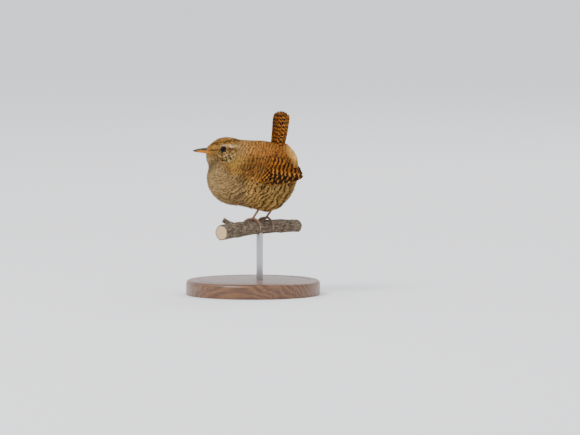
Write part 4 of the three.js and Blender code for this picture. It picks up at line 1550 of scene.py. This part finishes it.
    @staticmethod
    def _unwrapped(roots: Array, along: Array, across: Array) -> Array:
        """A patch of the bake's map for each feather, at its root's place round the bird's long axis."""
        away = roots - BODY - np.array([-4.0, 0, 32])
        round_axis = np.arctan2(away[:, 1], away[:, 2]) / TURN
        down_axis = np.arccos(np.clip(-away[:, 0] / np.linalg.norm(away, axis=1), -1, 1)) / math.pi
        spot = np.stack([round_axis, down_axis], axis=-1)
        spot = 0.01 + 0.98 * (spot - spot.min(0)) / (spot.max(0) - spot.min(0))
        vane = np.stack([across * 0.0015, (along - 0.5) * 0.003], axis=-1)
        return (spot[:, None] + vane).reshape(-1, 2)


# Long feathers


def spaced(count: int) -> Array:
    """Even shares from 0 to 1."""
    return np.linspace(0, 1, count)


def mixed(a: float, b: float, share: float | Array) -> float | Array:
    """A number between two others."""
    return a + (b - a) * share


@dataclass(frozen=True)
class Vane:
    """One long feather: where it starts and ends on its bed, and how wide, high and curved it is."""

    root: tuple[float, float]
    tip: tuple[float, float]
    half: float
    lift: float
    droop: float = 0.0
    tilt: float = 0.3
    thick: float = 0.26
    outer: float = 1.0
    chequer: float = 0.0
    point: float = 0.22
    pitch: float = 2.4
    offset: float = 0.0
    web: float = 0.35


@dataclass
class VaneMaker:
    """Makes sets of long feathers, each set as one mesh of closed, cambered sheets."""

    steps: int = 26
    columns: int = 8

    def grid(self) -> tuple[Array, Array, Array, Array]:
        """Shares along, shares across, faces and triangles of one sheet that closes at its rim."""
        rows, columns = self.steps + 1, self.columns + 1
        upper = np.arange(rows * columns).reshape(rows, columns)
        inner = np.zeros((rows, columns), bool)
        inner[1:-1, 1:-1] = True
        lower = upper.copy()
        lower[inner] = rows * columns + np.arange(inner.sum())
        steps = np.linspace(0, 1, rows) ** 0.85
        along, across = np.meshgrid(steps, np.linspace(-1, 1, columns), indexing="ij")
        face = inner.astype(float)
        shares = np.concatenate([along.ravel(), along[inner]])
        sideways = np.concatenate([across.ravel(), across[inner]])
        faces = np.concatenate([face.ravel(), -face[inner]])
        a, b, c, d = upper[:-1, :-1], upper[1:, :-1], upper[1:, 1:], upper[:-1, 1:]
        top = np.stack([a, b, c, a, c, d], -1).reshape(-1, 3)
        a, b, c, d = lower[:-1, :-1], lower[1:, :-1], lower[1:, 1:], lower[:-1, 1:]
        under = np.stack([a, c, b, a, d, c], -1).reshape(-1, 3)
        return shares, sideways, faces, np.concatenate([top, under])

    def outline(self, share: Array, point: float) -> Array:
        """Half the width of a feather at a share of its length, as a part of its widest."""
        end = np.sqrt(np.clip(1 - (np.clip(share - 1 + point, 0, 1) / point) ** 2, 0.0, 1))
        return np.minimum(1, 0.42 + 1.7 * share) * np.maximum(end, 0.06)

    def build(
        self,
        name: str,
        vanes: list[Vane],
        place: Callable[[Vane, Array, Array, Array], Array],
        rng: np.random.Generator,
        flip: bool = False,
    ) -> bpy.types.Object:
        """Make the set.

        Args:
            name: The piece's name.
            vanes: Its feathers.
            place: Gives points from a vane, millimetres along and across it, and its height.
            rng: The source of small differences.
            flip: Whether the bed is mirrored, so that faces turn the other way.

        Returns:
            The piece, with its marks and its bake map.
        """
        share, across, face, triangles = self.grid()
        if flip:
            triangles = triangles[:, ::-1]
        points, faces, spots, marks = [], [], [], []
        for n, vane in enumerate(vanes):
            ragged = rng.normal(0, 0.012, len(share)) * (np.abs(across) > 0.98)
            sideways = across * self.outline(share, vane.point) * (1 + ragged)
            crown = 0.2 * (1 - across**2) + 0.09 * np.exp(-((across / 0.12) ** 2))
            lift = vane.lift * np.interp(share, [0, 0.5], [0.3, 1])
            height = lift - vane.tilt * across + crown + face * vane.thick / 2 * (1 - 0.4 * share)
            points.append(place(vane, share, sideways * vane.half, height))
            faces.append(triangles + n * len(share))
            spots.append(np.stack([(n + 0.5 + across * 0.44) / len(vanes), 0.01 + 0.98 * share], -1))
            run = mixed(vane.root[0], vane.tip[0], share) / vane.pitch + vane.offset
            marks.append(
                {
                    "across": across,
                    "run": run + rng.normal(0, 0.07),
                    "chance": np.full(len(share), rng.random()),
                    "outer": eased(across, vane.web, vane.web - 0.45) * vane.outer,
                    "chequer": np.full(len(share), vane.chequer),
                    # rim: painted shadow on the inner edge, which the next feather covers.
                    "rim": eased(across, 0.72, 1.0) * (1 - eased(share, 0.9, 1.0)),
                    "edge": np.clip(eased(share, 0.95, 1.0) + eased(-across, 0.86, 1.0) * 0.6, 0, 1),
                    "below": face < 0,
                }
            )
        piece = mesh_from(name, np.concatenate(points), np.concatenate(faces))
        set_values(piece, {key: np.concatenate([own[key] for own in marks]) for key in marks[0]})
        set_bake_map(piece, np.concatenate(spots))
        smooth(piece, 50)
        return piece


@dataclass
class Wing:
    """A folded wing: primaries, secondaries, tertials and their coverts over the bed."""

    side: Side
    bed: WingBed
    right_reach: float = 0.9
    maker: VaneMaker = field(default_factory=VaneMaker)

    def vanes(self) -> list[Vane]:
        """Every long feather of the folded wing, the lowest tier first."""
        made = []
        for n, t in enumerate(spaced(10)):
            tip, root = (44.3 - 13.5 * t**1.7, -0.4 - 6.0 * t**0.9), (mixed(13, 8, t), mixed(0.2, -5.0, t))
            lift, droop, offset = mixed(0.72, 0.1, t), mixed(-0.5, -1.2, t), 0.04 * n + 0.5 * (n // 4 % 2)
            marks = {"outer": 1.0 if n % 4 in (1, 2) else 0.1, "chequer": 1.0, "pitch": 3.3}
            made.append(Vane(root, tip, 1.35, lift, droop, offset=offset, **marks))
        for n, t in enumerate(spaced(6)):
            tip, root = (mixed(42.0, 44.0, t), mixed(1.8, 0.0, t)), (9, mixed(3.6, 1.0, t))
            lift, droop, chequer = mixed(1.1, 0.8, t), mixed(0.5, -0.1, t), mixed(0.1, 0.8, t)
            made.append(Vane(root, tip, 1.5, lift, droop, chequer=chequer, pitch=2.6, offset=-0.04 * n))
        for n, t in enumerate(spaced(3)):
            tip, root = (mixed(32.8, 41.8, t**0.75), mixed(7.4, 2.4, t**1.2)), (8, mixed(6.2, 4.0, t))
            half, lift, droop = mixed(2.6, 2.2, t), mixed(1.6, 1.3, t), mixed(0.4, 1.4, t)
            offset, web = 0.1 * n, 1.6 - 0.4 * n
            made.append(Vane(root, tip, half, lift, droop, 0.36, point=0.3, offset=offset, web=web))
        for n, t in enumerate(spaced(6)):
            tip, root = (mixed(28.0, 24.5, t), mixed(-4.4, -6.5, t)), (9, mixed(-3.4, -5.6, t))
            lift, offset = mixed(0.95, 0.65, t), 0.5 * (n % 2)
            made.append(Vane(root, tip, 1.2, lift, -0.6, chequer=0.7, point=0.3, offset=offset))
        for n in range(3):
            tip, root = (21 - 1.5 * n, -5.2 - 0.7 * n), (6, -3.6 - 0.5 * n)
            made.append(Vane(root, tip, 1.1, 1.1 - 0.1 * n, -0.4, outer=0.4, point=0.3))
        for n, t in enumerate(spaced(9)):
            tip = (mixed(22.0, 24.5, math.sin(t * math.pi * 0.75)), mixed(7.0, -4.8, t))
            root, lift, droop = (10, mixed(5.6, -3.8, t)), mixed(1.65, 1.25, t), mixed(0.8, -0.6, t)
            offset = 0.5 * (n % 2)
            made.append(Vane(root, tip, 1.4, lift, droop, chequer=0.25, point=0.4, offset=offset, web=0.9))
        return made

    def place(self, vane: Vane, share: Array, sideways: Array, height: Array) -> Array:
        """Lay one feather's points on the bed."""
        along = mixed(vane.root[0], vane.tip[0], share)
        above = mixed(vane.root[1], vane.tip[1], share) + vane.droop * 4 * share * (1 - share) + sideways
        reach = self.right_reach if self.side is Side.RIGHT else 1.0
        return self.bed.place(along * reach, above, height, self.side)

    def build(self, rng: np.random.Generator, material: bpy.types.Material) -> None:
        """Make the wing with its material."""
        flip = self.side is Side.RIGHT
        wing = self.maker.build(f"wing_feathers_{self.side.word}", self.vanes(), self.place, rng, flip)
        finish(wing, material, "wing_feathers", (f"wing_{self.side.word}",))


@dataclass
class Tail:
    """The cocked tail: twelve long feathers under a ridge, with the coverts at its root."""

    root: Point = (9.4, 0, 43)
    lean: float = math.radians(4)
    roof: float = math.radians(47)
    length: float = 30.6
    longest: float = 2.1
    graduation: float = 0.28
    half: float = 2.35
    steps: tuple[float, ...] = (0, 0.14, 0.06, 0.2, 0.1, 0.24)
    behind: float = 0.7
    maker: VaneMaker = field(default_factory=partial(VaneMaker, 34, 10))

    def vanes(self) -> list[Vane]:
        """The six feathers of one side, from the middle out."""
        made = []
        for pair, offset in enumerate(self.steps):
            t = pair / (len(self.steps) - 1)
            splay = math.radians(0.8 + 1.25 * pair)
            length = self.length - self.graduation * (pair - self.longest) ** 2
            out, half = 0.9 + 1.15 * pair, self.half * mixed(1, 0.88, t)
            tip = (length * math.cos(splay), out + length * math.sin(splay))
            lift = -0.3 * pair
            vane = Vane((0, out), tip, half, lift, 0.3, 0.26, 0.28, point=0.18, pitch=2.5, offset=offset)
            made.append(replace(vane, outer=min(1, 0.4 + 0.8 * t), chequer=0.5 * t * t))
        return made

    def coverts(self) -> list[Vane]:
        """The short feathers that cover the tail's root, in two rows."""
        made = []
        for reach, lift in ((11.5, 0.95), (8.5, 1.35)):
            for pair in range(4):
                out = 0.3 + 1.5 * pair
                tip = (reach - 0.8 * pair, out + 0.7)
                made.append(Vane((1, out), tip, 1.7, lift - 0.3 * pair, 0, 0.2, outer=0.9, point=0.5))
        return made

    def place(self, side: Side, under: bool) -> Callable[[Vane, Array, Array, Array], Array]:
        """A placer for one side of the tail, on its back or its underside."""
        s = side.value
        lengthwise = np.array([math.sin(self.lean), 0, math.cos(self.lean)])
        outside = np.array([math.sin(self.roof), s * math.cos(self.roof), 0])
        facing = np.array([-math.cos(self.roof), s * math.sin(self.roof), 0])

        def put(vane: Vane, share: Array, sideways: Array, height: Array) -> Array:
            """Lay one feather's points on the roof of the tail."""
            along = mixed(vane.root[0], vane.tip[0], share)
            out = mixed(vane.root[1], vane.tip[1], share) - sideways
            dorsal = -height - self.behind if under else height - vane.droop * np.sin(math.pi * share)
            flat = np.multiply.outer(along, lengthwise) + np.multiply.outer(out, outside)
            return np.array(self.root) + BODY + flat + np.multiply.outer(dorsal, facing)

        return put

    def build(self, rng: np.random.Generator, material: bpy.types.Material) -> None:
        """Make both sides and join them as one piece."""
        parts = []
        layers = ((self.vanes(), False), (self.coverts(), False), (self.coverts(), True))
        for side in Side:
            for n, (vanes, under) in enumerate(layers):
                flip = (side is Side.RIGHT) != under
                place = self.place(side, under)
                parts.append(self.maker.build(f"tail_{side.word}_{n}", vanes, place, rng, flip))
        for n, part in enumerate(parts):
            places = np.empty(len(part.data.loops) * 2, np.float32)
            layer = part.data.uv_layers["OFBake"].data
            layer.foreach_get("uv", places)
            places[0::2] = (places[0::2] + n) / len(parts)
            layer.foreach_set("uv", places)
        finish(joined("tail_feathers", parts), material, "tail_feathers", ("tail",))


# Rolls round a line


def closed_ends(along: Array, sharp: float) -> Array:
    """One along a roll and rounded off to zero at both of its ends."""
    return np.clip(np.minimum(along, 1 - along) * sharp, 0, 1) ** 0.5


def round_line(line: Array, one: Array, two: Array, wide: Array, high: Array, around: Array) -> Array:
    """Points round a line.

    Args:
        line: Its points, or one point.
        one: Square to the line, where the round starts.
        two: Square to both.
        wide: Half the roll's size along the first way.
        high: Half its size along the second.
        around: Shares of the round.

    Returns:
        One point for each share.
    """
    loop = TURN * around
    return line + one * (wide * np.cos(loop))[:, None] + two * (high * np.sin(loop))[:, None]


# Bill


class Horn(Enum):
    """One of the two halves of the bill, as the sign of its height."""

    UPPER = 1
    LOWER = -1


@dataclass
class Bill:
    """The fine, slightly curved bill with its nostrils and the soft corners of the mouth."""

    plumage: Plumage
    length: float = 9.7
    half_width: float = 2.1
    tip: float = 0.16
    upper: float = 1.85
    lower: float = 1.8
    decurve: float = 0.55
    lift: float = math.radians(3.4)
    back: float = 0.32
    corner: Point = (-29.5, 4.0, 44.7)
    nostril: float = 0.19
    arch: float = 0.72
    gape_thick: Line = ((0, 0.08), (0.2, 0.34), (0.5, 0.42), (1, 0.12))

    def _middle(self, share: Array) -> Array:
        """The height of the bill's middle line over its base."""
        return self.length * share * math.sin(self.lift) - self.decurve * share * share

    def _place(self, share: Array, across: Array, up: Array) -> Array:
        """A point of the bill by its share of the length, and across and up from its middle line."""
        own = np.stack([-self.length * share, across, up + self._middle(share)], -1)
        return head_place(BILL_BASE + own)

    def _horn(self, horn: Horn) -> Placer:
        """A placer for one half: an arch over a flat seam."""
        above = horn is Horn.UPPER
        tall, fall, end = (self.upper, 0.8, 1.0) if above else (self.lower, 0.62, 0.975)

        def put(along: Array, around: Array) -> Array:
            """Points of the arch and of the seam."""
            share = -self.back + (end + self.back) * along
            forward = np.clip(share / end, 0, 1)
            taper = 1 - forward**1.4
            swell = 1 + 0.35 * np.maximum(-share, 0)
            closed = np.sqrt(np.clip((1 - forward) * 30, 0, 1)) * np.clip(along * 60, 0, 1)
            half = (self.tip + (self.half_width - self.tip) * taper**1.15 * swell) * closed
            rise = (self.tip + (tall - self.tip) * taper**fall) * closed
            on_arch = around <= self.arch
            angle = math.pi * np.clip(around / self.arch, 0, 1)
            seam = np.clip((around - self.arch) / (1 - self.arch), 0, 1)
            cosine = np.where(on_arch, np.cos(angle), -1 + 2 * seam)
            arch = np.where(on_arch, np.abs(np.sin(angle)) ** 0.88, 0)
            keel = 0.10 * np.exp(-((cosine / 0.22) ** 2)) * on_arch * taper
            side, up = half * cosine, 0.06 + rise * arch + keel * (1 if above else 0.3)
            if above:
                pit = np.exp(-(((share - self.nostril) / 0.085) ** 2) - ((arch - 0.52) / 0.17) ** 2) * on_arch
                side, up = side * (1 - 0.26 * pit), up - 0.1 * pit - 0.14 * forward**6
            return self._place(share, side, horn.value * up)

        return put

    def build(self, horn_look: bpy.types.Material) -> None:
        """Make both halves and the corners of the mouth."""
        for horn in Horn:
            word = horn.name.lower()
            piece = rolled(f"bill_{word}_horn", 90, 40, self._horn(horn))
            own = head_own(points_of(piece)) - BILL_BASE
            share = -own[:, 0] / self.length
            high = (own[:, 2] - self._middle(share)) / self.upper
            dark, pit, slot = eased(share, 0.45, 0.95) * 1.1, np.zeros(len(own)), "bill_lower"
            if horn is Horn.UPPER:
                dark = eased(high, 0.0, 0.42) * 1.1 + eased(share, 0.45, 0.9)
                pit = np.exp(-(((share - self.nostril) / 0.07) ** 2) - ((high - 0.42) / 0.14) ** 2)
                slot = "bill"
            set_values(piece, {"horn": np.clip(dark, 0, 1.1), "pit": np.clip(pit * 1.2, 0, 1)})
            finish(piece, horn_look, slot, (f"bill_{word}",))
        corners = [rolled(f"gape_{side.word}", 40, 12, self._gape(side)) for side in Side]
        gape = joined("gape", corners)
        blank = np.zeros(len(gape.data.vertices))
        set_values(gape, {"horn": blank, "pit": blank})
        finish(gape, horn_look, "bill_lower")

    def _gape(self, side: Side) -> Placer:
        """A placer for the soft roll from the bill's root back to the corner of the mouth."""
        start = np.array([BILL_BASE[0] - 1.4, side.value * 1.75, BILL_BASE[2] - 0.2])
        end = np.array([self.corner[0], side.value * self.corner[1], self.corner[2]])

        def put(along: Array, around: Array) -> Array:
            """Points of the roll."""
            line = head_place(start + np.multiply.outer(along, end - start))
            line = line + (self.plumage.laid(line, 0.02, 2) - line) * eased(along, 0.05, 0.35)[:, None]
            normal = self.plumage.normal(line)
            across = np.cross(normal, unit(head_place(end) - head_place(start)))
            thick = closed_ends(along, 30) * read(self.gape_thick, along)
            return round_line(line, normal, across, thick * 0.6, thick * 1.25, around)

        return put


# Perch, feet and stand


@dataclass
class Perch:
    """A short cut branch with rough bark, a side twig and sawn ends."""

    radius: float = 4.6
    taper: float = 0.5
    length: float = 82
    bow: float = 1.6
    top: float = 50
    relief: float = 0.16
    cap: float = 0.035
    twig_at: float = 0.24
    twig_radius: float = 1.7
    twig_length: float = 8.5
    twig_rise: float = math.radians(38)
    twig_side: float = math.radians(-48)
    twig_cap: float = 0.12

    @property
    def line(self) -> Array:
        """The branch's direction."""
        return np.array([math.sin(PERCH_TURN), math.cos(PERCH_TURN), 0])

    @property
    def across(self) -> Array:
        """Level and square to the branch, toward the bird's front."""
        return np.array([-math.cos(PERCH_TURN), math.sin(PERCH_TURN), 0])

    def centre(self, along: Array | float) -> Array:
        """The middle of the branch at millimetres along it."""
        share = 2 * np.asarray(along, float) / self.length
        middle = np.array([FEET_X, 0, self.top - self.radius])
        drop = np.multiply.outer(-self.bow * share**2, UP)
        return middle + np.multiply.outer(along, self.line) + drop

    def _bark(self, share: Array, angle: Array) -> Array:
        """The radius to the bark, with its ridges, two knots and roughness."""
        ridges = np.sin(5 * angle + 3 * np.sin(7 * share)) + 0.7 * np.sin(9 * angle - 17 * share)
        knots = 0.35 * np.exp(-(((share - 0.78) / 0.035) ** 2)) + 0.3 * np.exp(-(((share - 0.2) / 0.03) ** 2))
        places = np.stack([np.cos(angle) * 5, np.sin(angle) * 5, share * 22], axis=-1)
        rough = np.array([noise.fractal(Vector(place), 1.0, 2.1, 4) for place in places])
        broad = self.radius + self.taper * (0.5 - share) * 2
        return broad + self.relief * ridges * 0.7 + knots + 0.22 * rough

    def build(self, material: bpy.types.Material) -> None:
        """Make the branch with its twig."""
        branch = rolled("branch", 190, 96, self._branch_points)
        twig = rolled("twig", 40, 24, self._twig_points)
        for piece, reach in ((branch, self.cap), (twig, self.twig_cap)):
            ends = np.empty(len(piece.data.vertices))
            piece.data.attributes["along"].data.foreach_get("value", ends)
            near = np.minimum(ends, 1 - ends) if piece is branch else 1 - ends
            depth = np.clip(near / reach, 0, 1)
            grain = np.array([noise.fractal(Vector(p) * 0.6, 1.0, 2.1, 3) for p in points_of(piece)])
            relief = np.clip(0.5 + grain, 0, 1)
            set_values(piece, {"cut": (depth < 0.9) * 1.0, "depth": depth, "relief": relief})
        finish(joined("perch_branch", [branch, twig]), material, "bark", ("perch",))

    def _branch_points(self, along: Array, around: Array) -> Array:
        """Points of the branch, with a flat sawn face at each end."""
        share = np.clip((along - self.cap) / (1 - 2 * self.cap), 0, 1)
        closing = np.clip(np.minimum(along, 1 - along) / self.cap, 0, 1)
        radius = self._bark(share, TURN * np.where(around > 0.999, 0, around)) * closing**0.8
        line = self.centre((share - 0.5) * self.length)
        return round_line(line, UP, self.across, radius, radius, around)

    def _twig_points(self, along: Array, around: Array) -> Array:
        """Points of the side twig, sawn off short."""
        start = self.centre((self.twig_at - 0.5) * self.length)
        level = self.across * math.cos(self.twig_rise) + self.line * math.sin(self.twig_side)
        way = unit(level + UP * math.sin(self.twig_rise))
        one = unit(np.cross(way, self.line))
        share = np.clip(along / (1 - self.twig_cap), 0, 1)
        flare = 1.7 - 0.7 * np.clip(share * 1.6, 0, 1)
        radius = self.twig_radius * flare * (1 + 0.04 * np.sin(3 * TURN * around + 9 * share))
        radius = radius * np.clip((1 - along) / self.twig_cap, 0, 1) ** 0.8 * np.clip(along * 40, 0, 1)
        line = start + np.multiply.outer(share * (self.radius + self.twig_length), way)
        return round_line(line, one, np.cross(way, one), radius, radius, around)


@dataclass(frozen=True)
class Toe:
    """One toe: how far it spreads along the branch, and its end and start as degrees round it."""

    spread: float
    end: float
    start: float


@dataclass
class Foot:
    """A leg and a foot: a scaled shank, three toes in front, one behind, and their claws."""

    side: Side
    perch: Perch
    stance: float = 6.6
    lean: float = math.radians(34)
    shank: float = 0.72
    shank_length: float = 13.0
    toe: float = 0.78
    claw: float = 4.6
    hind_claw: float = 1.25
    together: float = 0.24
    clear: float = 0.62
    claw_thick: Line = ((0, 0.5), (0.12, 0.56), (1, 0.06))
    plates: int = 12

    @property
    def centre(self) -> Array:
        """The branch's middle under this foot."""
        return self.perch.centre(self.side.value * self.stance / math.cos(PERCH_TURN))

    @property
    def grip(self) -> float:
        """How far the toes' middle lines lie from the branch's."""
        return self.perch.radius + self.toe + self.clear

    def _ring(self, angle: Array, out: Array, slide: Array) -> Array:
        """A point round the branch by its angle from the top, its distance out and its place along."""
        line = self.centre + np.multiply.outer(slide, self.perch.line)
        return round_line(line, UP, self.perch.across, self.grip + out, self.grip + out, angle / TURN)

    def _toe(self, toe: Toe, claw: bool) -> Placer:
        """A placer for one toe, or for the claw at its end."""
        span = math.radians(toe.end - toe.start)
        reach = self.claw * (self.hind_claw if toe.end < 0 else 1.0)
        turn = reach / abs(span * self.grip)

        def middle(share: Array) -> Array:
            """The toe's middle line, and past its end the claw's."""
            apart = mixed(self.together, 1, np.minimum(np.abs(share) * 1.5, 1) ** 0.8)
            past = np.maximum(share - 1, 0) / turn
            out = 0.30 * np.sin(math.pi * np.clip(past, 0, 1)) - 0.5 * past**2
            return self._ring(math.radians(toe.start) + span * share, out, toe.spread * apart)

        def put(along: Array, around: Array) -> Array:
            """Points of the toe or claw."""
            share = 0.93 + (turn + 0.07) * along if claw else along
            ahead = unit(middle(share + 0.01) - middle(share - 0.01))
            one = unit(np.cross(ahead, self.perch.line))
            if claw:
                radius, flat = read(self.claw_thick, along) * closed_ends(along, 40), 0.8
            else:
                pads = 0.09 * np.cos(3 * TURN * along) + 0.05 * np.abs(np.sin(6 * TURN * along))
                ends = np.clip(np.minimum(along * 14, (1 - along) * 10), 0, 1) ** 0.5
                radius, flat = self.toe * (1 - 0.2 * along) * (1 + pads) * ends, 0.92
            return round_line(middle(share), one, np.cross(ahead, one), radius, radius * flat, around)

        return put

    def _shank(self, along: Array, around: Array) -> Array:
        """Points of the shank, whose front has overlapping plates."""
        knob = self.centre + UP * (self.perch.radius + self.toe + 0.75)
        way = unit(np.array([math.sin(self.lean), self.side.value * 0.1, math.cos(self.lean)]))
        front = unit(np.cross(np.array([0, 1.0, 0]), way))
        plates = 0.07 * (1 - np.mod(along * self.plates, 1)) * np.clip(-np.cos(TURN * around), 0, 1)
        flare = 0.75 * np.exp(-((along / 0.07) ** 2)) + 0.2 * along
        radius = self.shank * (1 + flare + plates) * closed_ends(along, 60)
        line = knob + np.multiply.outer(along * self.shank_length - 0.9, way)
        return round_line(line, front, np.cross(way, front), radius, radius * 0.85, around)

    def build(self, scaled: bpy.types.Material, horn: bpy.types.Material) -> None:
        """Make the shank, toes and claws of this side."""
        word = self.side.word
        toes = (Toe(-3.9, 98, -8), Toe(0.0, 116, -8), Toe(3.9, 98, -8), Toe(self.side.value * -0.4, -84, 8))
        shank = rolled(f"shank_{word}", 120, 20, self._shank)
        finish(shank, scaled, "legs", (f"leg_{word}",))
        parts = [rolled(f"toe_{word}_{n}", 60, 18, self._toe(toe, claw=False)) for n, toe in enumerate(toes)]
        finish(joined(f"toes_{word}", parts), scaled, "legs", (f"foot_{word}",))
        claws = [rolled(f"claw_{word}_{n}", 24, 14, self._toe(toe, claw=True)) for n, toe in enumerate(toes)]
        finish(joined(f"claws_{word}", claws), horn, "legs")


def moved(x: float = 0, y: float = 0, z: float = 0) -> Callable[[], object]:
    """A step in edit mode that moves what is selected, in millimetres."""
    return partial(bpy.ops.transform.translate, value=(x * MM, y * MM, z * MM))


def inset(wide: float) -> Callable[[], object]:
    """A step in edit mode that insets the selected faces, in millimetres."""
    return partial(bpy.ops.mesh.inset, thickness=wide * MM)


@dataclass
class Stand:
    """The turned wooden base and the steel rod that hold the branch."""

    radius: float = 45
    height: float = 10
    rim: float = 2.6
    edge: float = 3.8
    groove_width: float = 2.0
    groove_depth: float = 0.8
    rod: float = 2.2
    rod_foot: float = 5.2
    rod_top: float = 43.8

    def build(self, wood: bpy.types.Material, steel: bpy.types.Material) -> None:
        """Turn the base from a disc and set the rod in it."""
        size = {"radius": self.radius * MM, "depth": self.height * MM}
        base = primitive("base", "cylinder", vertices=160, end_fill_type="NGON", **size)
        edit(base, moved(z=self.height / 2))
        rounded = partial(bpy.ops.mesh.bevel, offset=self.rim * MM, segments=6, affect="EDGES")
        edit(base, rounded, chosen=self._facing(base, 0.9))
        half, deep = self.groove_width / 2, self.groove_depth
        groove = (inset(self.edge), inset(half), moved(z=-deep), inset(half), moved(z=deep), inset(30.0))
        edit(base, *groove, chosen=self._facing(base, 0.999))
        modify(base, "BEVEL", width=0.35 * MM, segments=3, limit_method="ANGLE", angle_limit=math.radians(35))
        smooth(base, 35)
        finish(base, wood, "base_wood", ("stand_base",))

        high, middle = self.rod_top - self.rod_foot, (self.rod_foot + self.rod_top) / 2
        rod = primitive("rod", "cylinder", vertices=64, radius=self.rod * MM, depth=high * MM)
        edit(rod, moved(x=FEET_X, z=middle))
        modify(rod, "BEVEL", width=0.3 * MM, segments=3, limit_method="ANGLE", angle_limit=math.radians(50))
        smooth(rod, 40)
        finish(rod, steel, "rod_steel", ("stand_rod",))

    @staticmethod
    def _facing(piece: bpy.types.Object, up: float) -> Array:
        """The faces that look upward."""
        return np.array([p.normal.z > up for p in piece.data.polygons])


# Studio


@dataclass
class Studio:
    """Camera at the photograph's view, pale floor and soft light."""

    aim: Point = (24.3, 4.65, 51.7)
    azimuth: float = math.radians(12)
    elevation: float = math.radians(4)
    away: float = 4000
    sensor: float = 36
    across: float = 388.6
    sky: Colour = (0.93, 0.95, 1.0)
    sky_strength: float = 1.3
    lit_at: Point = (0, 0, 0.07)

    def build(self, floor_look: bpy.types.Material) -> None:
        """Place the camera, the floor and the lights."""
        e, a = self.elevation, self.azimuth
        back = np.array([math.sin(a) * math.cos(e), -math.cos(a) * math.cos(e), math.sin(e)])
        data = bpy.data.cameras.new("camera")
        camera = bpy.data.objects.new("camera", data)
        bpy.context.scene.collection.objects.link(camera)
        camera.location = Vector((np.array(self.aim) + back * self.away) * MM)
        camera.rotation_euler = Vector(back).to_track_quat("Z", "Y").to_euler()
        data.sensor_width = self.sensor
        data.lens = self.sensor * self.away / self.across
        data.clip_start, data.clip_end = 0.05, 200
        data.dof.use_dof = False
        bpy.context.scene.camera = camera

        floor = primitive("floor", "plane", size=120)
        floor.data.materials.append(floor_look)
        floor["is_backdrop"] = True

        self._light("key", (-0.9, -1.3, 1.7), 0.9, 34)
        self._light("fill", (1.6, -1.2, 0.9), 1.4, 3)
        self._light("back", (0.5, 1.6, 1.5), 1.2, 12)
        world = bpy.context.scene.world or bpy.data.worlds.new("world")
        bpy.context.scene.world = world
        world.use_nodes = True
        sky = next(n for n in world.node_tree.nodes if n.type == "BACKGROUND")
        sky.inputs["Color"].default_value = (*self.sky, 1)
        sky.inputs["Strength"].default_value = self.sky_strength

    def _light(self, name: str, at: Point, size: float, power: float) -> None:
        """Add a square soft light that looks at the bird, placed in metres."""
        data = bpy.data.lights.new(name, "AREA")
        data.shape = "SQUARE"
        data.size = size
        data.energy = power
        lamp = bpy.data.objects.new(name, data)
        bpy.context.scene.collection.objects.link(lamp)
        lamp.location = at
        way = Vector(at) - Vector(self.lit_at)
        lamp.rotation_euler = way.to_track_quat("Z", "Y").to_euler()


def main() -> None:
    """Build every piece in order and report it."""
    logging.basicConfig(level=logging.INFO, format="%(name)s: %(message)s", stream=sys.stdout)
    rng = np.random.default_rng(SEED + 1)
    plumage, marks, perch, small = Plumage(), Marks(), Perch(), SmallFeathers()
    eyes = (Eye(Side.LEFT, plumage), Eye(Side.RIGHT, plumage))
    skin = Skin(plumage, marks, eyes)
    body = skin.build(small.material("skin", bare=True))
    Coat(plumage, marks, skin).build(body, small.material("small_feathers"))
    wet, rim = WetEye().material("wet_eye"), LID_SKIN.material("lid_skin")
    for eye in eyes:
        eye.build(wet, rim)
    flight = WING_LOOK.material("wing_feathers")
    for side in Side:
        Wing(side, plumage.bed).build(rng, flight)
    Tail().build(rng, TAIL_LOOK.material("tail_feathers"))
    Bill(plumage).build(BillHorn().material("bill_horn"))
    scaled, claws = LEG_SKIN.material("scaled_skin"), ClawHorn().material("claw_horn")
    for side in Side:
        Foot(side, perch).build(scaled, claws)
    perch.build(Bark().material("bark"))
    Stand().build(TurnedWood().material("turned_wood"), BrushedSteel().material("brushed_steel"))
    Studio().build(PaleFloor().material("pale_floor"))
    {"cad": plain(cad_box), "visual": plain(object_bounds())}


def plain(box: object) -> list[list[float]]:
    """A box's corners as plain lists."""
    return [[float(v) for v in corner] for corner in box]


if __name__ == "__main__":
    main()
